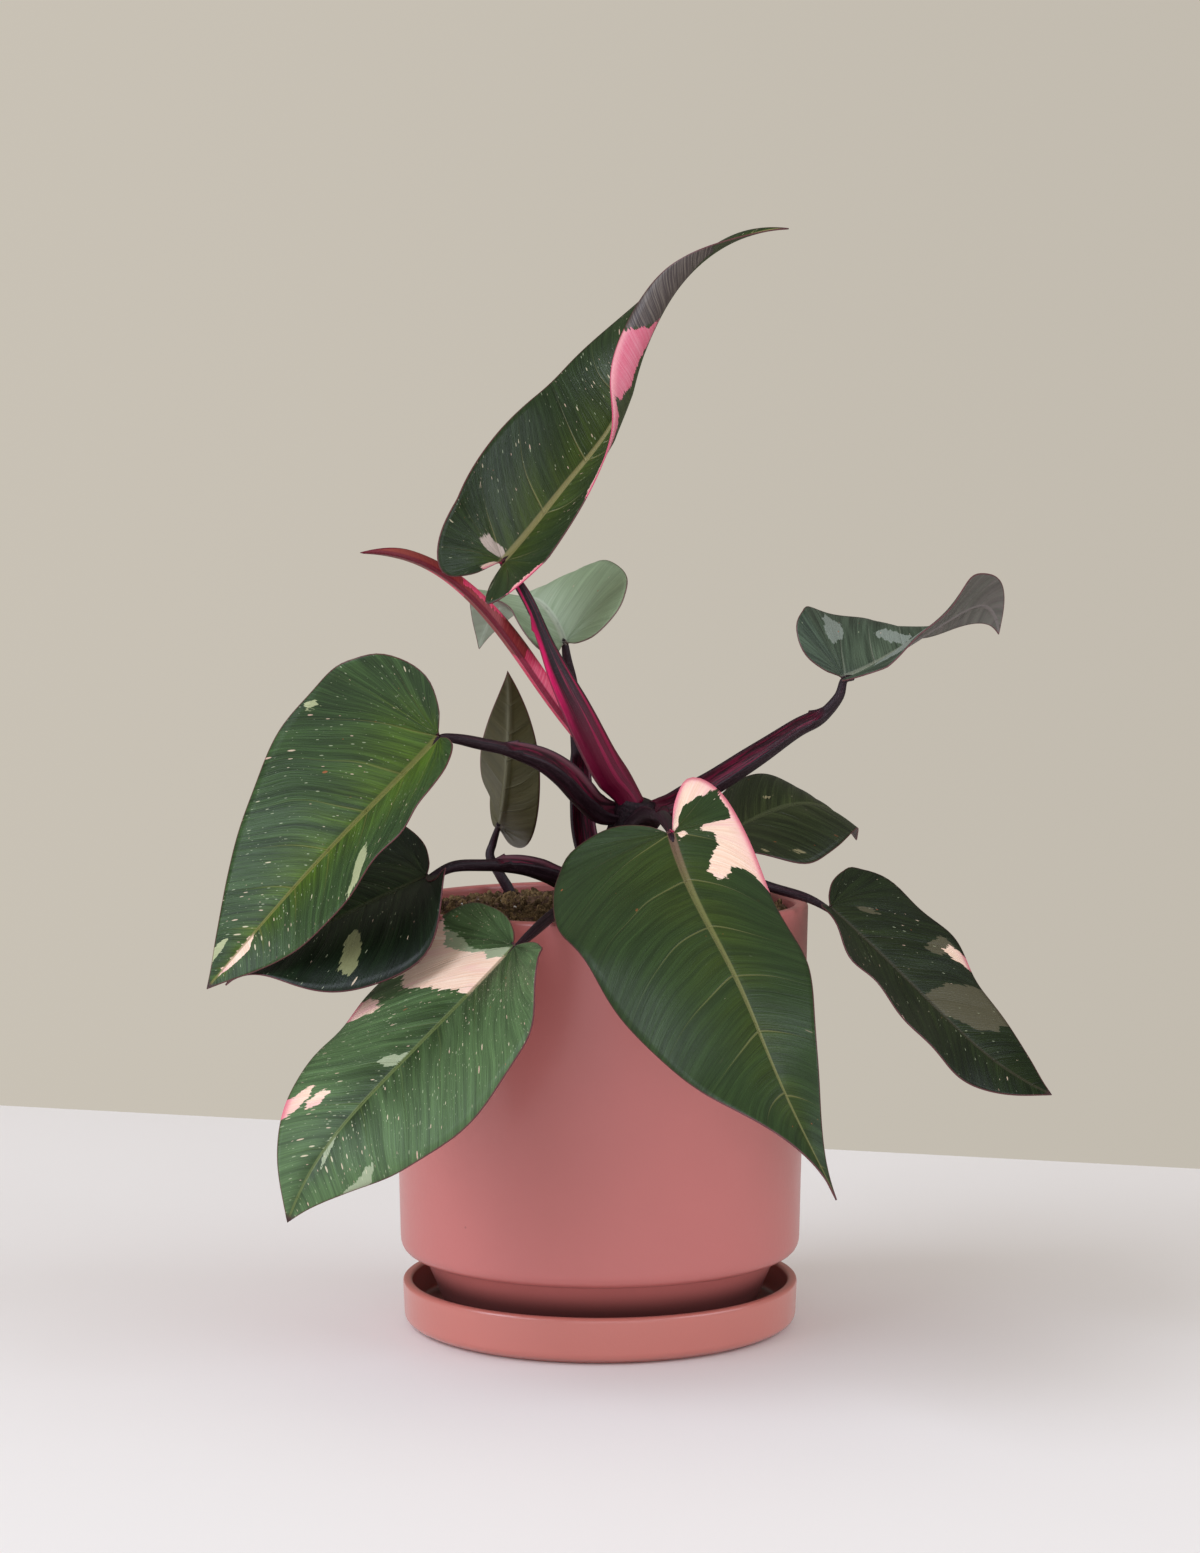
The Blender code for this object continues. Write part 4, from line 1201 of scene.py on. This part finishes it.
def stem_material():
    """Ringed brown bark, and dark purple where the young stalks leave it."""
    material, n, shader = new_material("stem bark", .6, .25)
    grain = n.group("grain", Size=900.0, Patches=130.0)
    height = n.split(n.place())[2]
    rings = n.math("SINE", n.times(height, 900.0))
    colour = n.mix(n.step(grain["Broad"], .35, .65), *BARKS)
    colour = n.mix(n.step(rings, .82, 1.0, 0.0, .7), colour, BARK_RING)
    young = n.mix(n.step(grain["Fine"], .45, .65), *STEM_TOPS)
    colour = n.mix(n.step(height, *STEM_TOP_FROM), colour, young)
    paint(n, shader, colour, grain["Height"], .0004)
    return material


def soil_material(name, colours, roughness=.95):
    material, n, shader = new_material(name, roughness, .2)
    grain = n.group("grain", Size=850.0, Patches=150.0)
    colour = n.mix(n.step(grain["Broad"], .35, .65), *colours)
    colour = n.mix(n.step(grain["Fine"], .58, .72, 0.0, .6), colour,
                   toned(colours[1], 2.2))
    paint(n, shader, colour, grain["Height"], .0008)
    return material


def glaze_material(name, colour, roughness, coat, shade_zone):
    """Satin ceramic glaze: a little uneven in tone, with faint pinpricks.  Within
    a radius, and between a height without shade and one with the full shade,
    it is darkened as painted shade (shade_zone holds the three, in m)."""
    material, n, shader = new_material(name, roughness, .5)
    grain = n.group("grain", Size=520.0, Patches=16.0)
    shader.inputs["Coat Weight"].default_value = coat
    shader.inputs["Coat Roughness"].default_value = .22
    tone = n.mix(n.step(grain["Broad"], .3, .7), toned(colour, .97), toned(colour, 1.03))
    place = n.place()
    pits = n.add("ShaderNodeTexVoronoi", {"Vector": place, "Scale": 190.0})
    rare = n.step(n.split(pits.outputs["Color"])[0], .03, .0)
    prick = n.times(rare, n.step(pits.outputs["Distance"], .12, .05))
    tone = n.mix(n.times(prick, .6), tone, toned(colour, .45))
    x, y, z = n.split(place)
    out = n.math("SQRT", n.math("ADD", n.times(x, x), n.times(y, y)))
    reach, unshaded_height, shaded_height = shade_zone
    # painted shade: darker within the radius and towards the height of full shade
    painted_shade = n.times(n.step(out, reach - .0008, reach + .0004, .85, 0.0),
                    n.step(z, unshaded_height, shaded_height))
    n.wire(shader.inputs["Roughness"], n.scaled(grain["Fine"], .08, roughness - .04))
    paint(n, shader, n.mix(painted_shade, tone, toned(colour, .12)), grain["Height"], .00006)
    return material


# Geometry nodes
TURNING_RADIUS = 0.0001  # a profile is swept round a circle this small, m
CRUMB_UNEVEN = .0014     # how far a crumb's points are moved from each other, m


def geometry_tree(name, inputs):
    tree = bpy.data.node_groups.new(name, "GeometryNodeTree")
    tree.interface.new_socket("Geometry", in_out="INPUT", socket_type="NodeSocketGeometry")
    for label, kind in inputs.items():
        tree.interface.new_socket(label, in_out="INPUT", socket_type=kind)
    tree.interface.new_socket("Geometry", in_out="OUTPUT", socket_type="NodeSocketGeometry")
    return Nodes(tree), tree.nodes.new("NodeGroupInput").outputs


def finished_tree(n, geometry, material):
    """End a tree with its geometry painted."""
    painted = n.add("GeometryNodeSetMaterial", {"Geometry": geometry, "Material": material})
    n.wire(n.tree.nodes.new("NodeGroupOutput").inputs[0], painted.outputs[0])
    return n.tree


def apply_tree(piece, tree, values):
    """Run a geometry node tree on a piece and keep the result as a mesh."""
    change = piece.modifiers.new(tree.name, "NODES")
    change.node_group = tree
    for item in tree.interface.items_tree:
        if item.in_out == "INPUT" and item.name in values:
            change[item.identifier] = values[item.name]
    seen = piece.evaluated_get(bpy.context.evaluated_depsgraph_get())
    mesh = bpy.data.meshes.new_from_object(seen)
    piece.modifiers.clear()
    piece.data = mesh
    return piece


def turning_tree():
    """Turns a profile, a line of points in the XZ plane, round the Z axis."""
    n, entry = geometry_tree("Turned piece", {
        "Segments": "NodeSocketInt", "Material": "NodeSocketMaterial"})
    profile = n.add("GeometryNodeMeshToCurve", {"Mesh": entry["Geometry"]})
    circle = n.add("GeometryNodeCurvePrimitiveCircle", {
        "Resolution": entry["Segments"], "Radius": TURNING_RADIUS})
    level = n.add("GeometryNodeSetCurveNormal", {"Curve": circle.outputs["Curve"]})
    level.mode = "Z_UP"
    swept = n.add("GeometryNodeCurveToMesh", {
        "Curve": level.outputs[0], "Profile Curve": profile.outputs[0]})
    welded = n.add("GeometryNodeMergeByDistance", {
        "Geometry": swept.outputs[0], "Distance": 1e-6})
    smooth = n.add("GeometryNodeSetShadeSmooth", {"Geometry": welded.outputs[0]})
    real = n.add("GeometryNodeRealizeInstances", {"Geometry": smooth.outputs[0]})
    return finished_tree(n, real.outputs[0], entry["Material"])


def rounded(corners, steps=7):
    """Points of a closed profile from (radius, height, rounding) corners, with
    an arc at each rounded corner."""
    points = []
    for i, (x, z, rounding) in enumerate(corners):
        here = Vector((x, z))
        if not rounding:
            points.append(here)
            continue
        before = Vector(corners[i - 1][:2]) - here
        after = Vector(corners[(i + 1) % len(corners)][:2]) - here
        half = before.angle(after) / 2
        reach = rounding / tan(half)
        start = here + before.normalized() * reach
        end = here + after.normalized() * reach
        for k in range(steps + 1):
            t = k / steps
            points.append(start * (1 - t) ** 2 + here * 2 * t * (1 - t) + end * t * t)
    return points


def turned_piece(name, corners, sides, material):
    """A piece turned from a profile of (radius, height, rounding) in mm."""
    points = rounded(corners)
    mesh = bpy.data.meshes.new(name)
    place = [(p.x * MM - TURNING_RADIUS, -p.y * MM, 0) for p in points]
    count = len(points)
    closed = corners[0][0] > 0
    edges = [(i, (i + 1) % count) for i in range(count if closed else count - 1)]
    mesh.from_pydata(place, edges, [])
    piece = new_object(name, mesh)
    apply_tree(piece, turning_tree(), {"Segments": sides, "Material": material})
    face_outwards(piece.data)
    return piece


def scatter_tree():
    """Crumbs on a surface, each a few uneven faces, turned at random."""
    n, entry = geometry_tree("Scattered crumbs", {
        "Density": "NodeSocketFloat", "Size": "NodeSocketFloat",
        "Smallest": "NodeSocketFloat", "Stretch": "NodeSocketFloat",
        "Seed": "NodeSocketInt", "Material": "NodeSocketMaterial"})
    spots = n.add("GeometryNodeDistributePointsOnFaces", {
        "Mesh": entry["Geometry"], "Density": entry["Density"],
        "Seed": entry["Seed"]})
    crumb = n.add("GeometryNodeMeshIcoSphere", {"Radius": 1.0, "Subdivisions": 2})
    stretch = n.add("GeometryNodeTransform", {"Geometry": crumb.outputs[0]})
    n.wire(stretch.inputs["Scale"], n.join(entry["Stretch"], 1.0, .75))
    turn = n.add("FunctionNodeRandomValue", data_type="FLOAT_VECTOR")
    turn.inputs["Max"].default_value = (2 * pi, 2 * pi, 2 * pi)
    n.wire(turn.inputs["Seed"], entry["Seed"])
    size = n.add("FunctionNodeRandomValue", data_type="FLOAT")
    n.wire(size.inputs[2], entry["Smallest"])
    n.wire(size.inputs[3], entry["Size"])
    n.wire(size.inputs["Seed"], n.math("ADD", entry["Seed"], 11.0))
    placed = n.add("GeometryNodeInstanceOnPoints", {
        "Points": spots.outputs["Points"], "Instance": stretch.outputs[0],
        "Rotation": turn.outputs[0], "Scale": size.outputs[1]})
    real = n.add("GeometryNodeRealizeInstances", {"Geometry": placed.outputs[0]})
    rough = n.add("ShaderNodeTexNoise", {"Scale": 600.0, "Detail": 1.0})
    push = n.add("ShaderNodeVectorMath", operation="MULTIPLY_ADD")
    n.wire(push.inputs[0], rough.outputs["Color"])
    push.inputs[1].default_value = (CRUMB_UNEVEN,) * 3
    push.inputs[2].default_value = (-CRUMB_UNEVEN / 2,) * 3
    uneven = n.add("GeometryNodeSetPosition", {"Geometry": real.outputs[0],
                                               "Offset": push.outputs[0]})
    return finished_tree(n, uneven.outputs[0], entry["Material"])


# Pot, saucer and soil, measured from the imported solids
POT_WALL = 5.0
POT_BELLY = 27.0       # height at which the foot ends and the straight wall starts
DRAIN_RADIUS = 8
FOOT_RADII = (56, 65)  # at the bottom and where the foot meets the wall
FOOT_FLOOR = 6         # thickness of the pot's floor
SAUCER_WALL = 3.6
SAUCER_FLOOR = 5.0
SOIL_LEVEL = 150.0
SOIL_CROWN = 1.3       # how much higher the soil is in the middle
SOIL_WAVES = 26
SOIL_RINGS = 56
SOIL_SIDES = 120
CRUMB_LEVEL = .1507    # height of the disc that carries the crumbs, m
CRUMB_MARGIN = 2       # how far the crumbs stay from the pot, mm


def node_radius(name):
    low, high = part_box(name)
    return (high.x - low.x) / 2 / MM


def pot_profile():
    low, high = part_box("pot")
    rim, foot, top = node_radius("pot"), low.z / MM, high.z / MM
    floor = foot + FOOT_FLOOR
    return [(DRAIN_RADIUS, foot, 0), (FOOT_RADII[0], foot, 1),
            (FOOT_RADII[1], POT_BELLY - .6, 1.2), (73.1, POT_BELLY, 6.2),
            (rim, top, 1.9), (rim - POT_WALL, top, 1.9), (68.2, POT_BELLY + 5.5, 4),
            (60, POT_BELLY + 4, 3), (50.5, floor, 2), (DRAIN_RADIUS, floor, 0)]


def saucer_profile():
    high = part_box("saucer")[1]
    rim, top = node_radius("saucer"), high.z / MM
    inside = rim - SAUCER_WALL
    return [(0, .0, 0), (67, 0, 1.5), (71.8, 2.4, 3.5), (rim, top, 1.6),
            (inside, top, 1.6), (inside - 1.2, SAUCER_FLOOR, 3), (0, SAUCER_FLOOR, 0)]


def soil_height(x, y, share, waves):
    """The soil's uneven top, level with its edge at share 1 of the way out."""
    bumps = sum(w[3] * sin(x * w[0] * .8 + y * w[1] * .8 + 9 * w[2]) for w in waves) / 4.5
    return SOIL_LEVEL + (1 - share ** 2) * SOIL_CROWN + bumps * (1 - share ** 8)


def soil_piece(material):
    """The soil's body: its sides as in the pot, its top uneven."""
    rim, floor = node_radius("soil"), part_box("soil")[0].z / MM
    waves = np.random.default_rng(4).uniform(-1, 1, (SOIL_WAVES, 4))
    work = bmesh.new()
    sides = SOIL_SIDES
    inside_pot = [(67.8, 36), (65.8, 33.5), (59.6, 31.3), (50.2, floor), (0, floor)]
    profile = [(rim * i / SOIL_RINGS, i / SOIL_RINGS) for i in range(SOIL_RINGS + 1)]
    grid = []
    for row, (radius, level) in enumerate(profile + inside_pot):
        ring = []
        for k in range(sides if radius else 1):
            angle = 2 * pi * k / sides
            x, y = radius * cos(angle), radius * sin(angle)
            z = soil_height(x, y, level, waves) if row < len(profile) else level
            ring.append(work.verts.new((x * MM, y * MM, z * MM)))
        grid.append(ring)
    for inner, outer in zip(grid, grid[1:]):
        for k in range(sides):
            j = (k + 1) % sides
            ring = [inner[k % len(inner)], outer[k % len(outer)],
                    outer[j % len(outer)], inner[j % len(inner)]]
            corners = [v for i, v in enumerate(ring) if v not in ring[:i]]
            if len(corners) > 2:
                work.faces.new(corners)
    bmesh.ops.recalc_face_normals(work, faces=work.faces)
    mesh = bpy.data.meshes.new("soil_bed")
    work.to_mesh(mesh)
    work.free()
    mesh.shade_smooth()
    mesh.materials.append(material)
    return new_object("soil_bed", mesh)


def scattered(name, radius, values):
    """Crumbs in place of a disc that lies at the soil's top."""
    mesh = bpy.data.meshes.new(name)
    work = bmesh.new()
    bmesh.ops.create_circle(work, cap_ends=True, segments=64, radius=radius * MM,
                            matrix=Matrix.Translation((0, 0, CRUMB_LEVEL)))
    work.to_mesh(mesh)
    work.free()
    return apply_tree(new_object(name, mesh), scatter_tree(), values)


def finish(piece, node, slot, *materials):
    """Gives a piece its materials, and its place in the frame."""
    for material in materials:
        piece.data.materials.append(material)
    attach(piece, BODY)
    if node:
        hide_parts(node)


# Operators
class AddLeaves(bpy.types.Operator):
    """Add every leaf blade with its own greens, patches and flecks"""
    bl_idname = "plant.add_leaves"
    bl_label = "Leaves"

    def execute(self, context):
        settings = context.scene.plant_leaves
        for index, key in enumerate(LEAVES):
            piece = blade_piece(key, settings.thickness, settings.pleat)
            if key == "unfurling":
                both = new_leaf_material()
                finish(piece, key + "_leaf", "new_leaf", both, both)
                continue
            seed = 11.3 * index + 2
            finish(piece, key + "_leaf", "leaf", leaf_material(key, seed, settings),
                   underside_material(key, seed, settings))
        return {"FINISHED"}


class AddStalks(bpy.types.Operator):
    """Add the leaf stalks with their winged sheaths"""
    bl_idname = "plant.add_stalks"
    bl_label = "Leaf stalks"

    def execute(self, context):
        settings = context.scene.plant_stalks
        for index, (key, stalk) in enumerate(PETIOLES.items()):
            leaf = LEAVES[key]
            forward, _, up = directions(leaf, 0.0)
            joint = np.array(leaf.base) - up * 1.2
            path = stalk.path + (tuple(joint), tuple(joint + forward * 4 - up * .2))
            radii = stalk.radii + (stalk.radii[-1] * .5,)
            piece = stalk_piece(key + "_stalk", path, radii, stalk.sheath, stalk.opens)
            material = stalk_material(key + " stalk", index * 5.7, settings,
                                      STALK_TINTS.get(key, (.08, 0)))
            finish(piece, key + "_petiole", "petiole", material)
        return {"FINISHED"}


class AddStem(bpy.types.Operator):
    """Add the short main stem"""
    bl_idname = "plant.add_stem"
    bl_label = "Main stem"

    def execute(self, context):
        piece = stalk_piece("stem", STEM_PATH, STEM_RADII, rings=60)
        finish(piece, "main_stem", "stem", stem_material())
        return {"FINISHED"}


class AddPot(bpy.types.Operator):
    """Add the pot and its saucer, turned from their profiles"""
    bl_idname = "plant.add_pot"
    bl_label = "Pot and saucer"

    def execute(self, context):
        settings = context.scene.plant_pot
        glaze = glaze_material("pot glaze", tuple(settings.glaze), .5, .5, POT_FOOT_PAINTED_SHADE)
        piece = turned_piece("pot_body", pot_profile(), settings.sides, glaze)
        finish(piece, "pot", "pot_ceramic")
        # painted shade on the saucer's inside
        painted_shade = (node_radius("saucer") * MM - .005, .002, .004)
        glaze = glaze_material("saucer glaze", tuple(settings.saucer_glaze), .4, .8, painted_shade)
        piece = turned_piece("saucer_dish", saucer_profile(), settings.sides, glaze)
        finish(piece, "saucer", "saucer_ceramic")
        return {"FINISHED"}


class AddSoil(bpy.types.Operator):
    """Add the soil with its crumbs, moss and pale grains"""
    bl_idname = "plant.add_soil"
    bl_label = "Soil"

    def execute(self, context):
        settings = context.scene.plant_soil
        earth = soil_material("damp potting soil", EARTHS)
        moss = soil_material("moss and fibre", MOSSES)
        grit = soil_material("pale grit", GRITS, .8)
        finish(soil_piece(earth), "soil", "potting_soil")
        kinds = (("soil_crumbs", settings.density, settings.crumb, 1.3, earth),
                 ("soil_moss", settings.density * .8, settings.crumb * .9, 2.4, moss),
                 ("soil_grit", settings.density * .02, settings.crumb * .9, 1.1, grit))
        for step, (name, density, size, stretch, material) in enumerate(kinds):
            values = {"Density": density, "Size": size, "Smallest": size * .35,
                      "Stretch": stretch, "Seed": settings.seed + step,
                      "Material": material}
            piece = scattered(name, node_radius("soil") - CRUMB_MARGIN, values)
            finish(piece, None, "potting_soil")
        return {"FINISHED"}


class AddStage(bpy.types.Operator):
    """Add the floor, the soft studio light and the photograph's camera"""
    bl_idname = "plant.add_stage"
    bl_label = "Stage"

    def execute(self, context):
        settings = context.scene.plant_stage
        add_floor(settings)
        add_backdrop(settings)
        add_light("key light", (-2.3, -1.45, 2.0), (0, 0, .15), (2.4, 2.4),
                  settings.key, (.80, .86, 1.0))
        add_light("side light", (2.5, -.9, 1.7), (0, 0, .2), (2.2, 1.8),
                  settings.side, (.80, .87, 1.0))
        add_light("front light", (.6, -3.4, 1.0), (0, 0, .2), (3.5, 2.5),
                  settings.front, (.82, .87, 1.0))
        add_camera()
        context.scene.view_settings.view_transform = "Standard"
        return {"FINISHED"}


# Stage
FLOOR_SIZE = (2.6, 1.9)
FLOOR_BACK = 0.385       # the floor's back edge behind the pot, on its axis
FLOOR_TURN = -16.8
FLOOR_DEPTH = 0.02
GLOSSY_DIM = 0.7         # how much darker the room is in reflections


def add_floor(settings):
    material, n, shader = new_material("pale floor", .6, .3)
    grain = n.group("grain", Size=900.0, Patches=8.0)
    tone = n.mix(n.step(grain["Broad"], .3, .7, 0.0, .3), tuple(settings.floor),
                 toned(settings.floor, .985))
    n.wire(shader.inputs["Base Color"], tone)
    work = bmesh.new()
    turn = Matrix.Rotation(radians(FLOOR_TURN), 4, "Z")
    across, deep = FLOOR_SIZE
    centre = Vector((0, FLOOR_BACK * cos(radians(FLOOR_TURN)) - deep / 2,
                     -FLOOR_DEPTH / 2))
    place = turn @ Matrix.Translation(centre) @ Matrix.Diagonal(
        (across, deep, FLOOR_DEPTH, 1))
    bmesh.ops.create_cube(work, size=1, matrix=place)
    edges = [e for e in work.edges if all(v.co.z > -1e-4 for v in e.verts)]
    bmesh.ops.bevel(work, geom=edges, offset=.002, segments=3, affect="EDGES")
    mesh = bpy.data.meshes.new("floor")
    work.to_mesh(mesh)
    work.free()
    mesh.materials.append(material)
    new_object("floor", mesh)


def add_backdrop(settings):
    """A plain backdrop, a touch lighter on the left."""
    world = bpy.data.worlds.new("studio backdrop")
    bpy.context.scene.world = world
    world.use_nodes = True
    n = Nodes(world.node_tree)
    ground = world.node_tree.nodes["Background"]
    side = n.split(n.add("ShaderNodeTexCoord").outputs["Generated"])[0]
    colour = n.mix(n.step(side, -.25, .25), toned(settings.backdrop, 1.03),
                   toned(settings.backdrop, .955))
    glossy = n.add("ShaderNodeLightPath").outputs["Is Glossy Ray"]
    colour = n.mix(n.times(glossy, GLOSSY_DIM), colour, (0, 0, 0))
    n.wire(ground.inputs["Color"], colour)
    ground.inputs["Strength"].default_value = 1.0


def add_light(name, place, target, size, power, colour):
    light = bpy.data.lights.new(name, "AREA")
    light.shape = "RECTANGLE"
    light.size, light.size_y = size
    light.energy = power
    light.color = colour
    lamp = bpy.data.objects.new(name, light)
    bpy.context.scene.collection.objects.link(lamp)
    lamp.location = place
    aim = Vector(target) - Vector(place)
    lamp.rotation_euler = aim.to_track_quat("-Z", "Y").to_euler()


def add_camera():
    data = bpy.data.cameras.new("photograph")
    data.sensor_width = SENSOR
    data.lens = SENSOR * FOCAL_PIXELS / IMAGE_HEIGHT
    camera = bpy.data.objects.new("photograph", data)
    bpy.context.scene.collection.objects.link(camera)
    camera.location = (0, -CAMERA_DISTANCE, CAMERA_HEIGHT)
    camera.rotation_euler = (radians(90 - CAMERA_PITCH), 0, 0)
    bpy.context.scene.camera = camera


class PlantPanel(bpy.types.Panel):
    """Buttons and settings for each group of pieces"""
    bl_idname = "VIEW3D_PT_potted_plant"
    bl_label = "Potted plant"
    bl_space_type = "VIEW_3D"
    bl_region_type = "UI"
    bl_category = "Plant"

    def draw(self, context):
        for group, _, operators in SETTINGS:
            box = self.layout.box()
            for operator in operators:
                box.operator(operator.bl_idname)
            settings = getattr(context.scene, group)
            for name in settings.bl_rna.properties.keys():
                if name not in ("rna_type", "name"):
                    box.prop(settings, name)


SETTINGS = (
    ("plant_leaves", LeafSettings, (AddLeaves,)),
    ("plant_stalks", StalkSettings, (AddStalks, AddStem)),
    ("plant_pot", PotSettings, (AddPot,)),
    ("plant_soil", SoilSettings, (AddSoil,)),
    ("plant_stage", StageSettings, (AddStage,)),
)


def register():
    for name, group, operators in SETTINGS:
        bpy.utils.register_class(group)
        setattr(bpy.types.Scene, name, PointerProperty(type=group))
        for operator in operators:
            bpy.utils.register_class(operator)
    bpy.utils.register_class(PlantPanel)


def unregister():
    bpy.utils.unregister_class(PlantPanel)
    for name, group, operators in reversed(SETTINGS):
        for operator in reversed(operators):
            bpy.utils.unregister_class(operator)
        delattr(bpy.types.Scene, name)
        bpy.utils.unregister_class(group)


def main():
    register()
    bpy.ops.plant.add_stage()
    bpy.ops.plant.add_pot()
    bpy.ops.plant.add_soil()
    bpy.ops.plant.add_stem()
    bpy.ops.plant.add_stalks()
    bpy.ops.plant.add_leaves()
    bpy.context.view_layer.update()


if __name__ == "__main__":
    main()
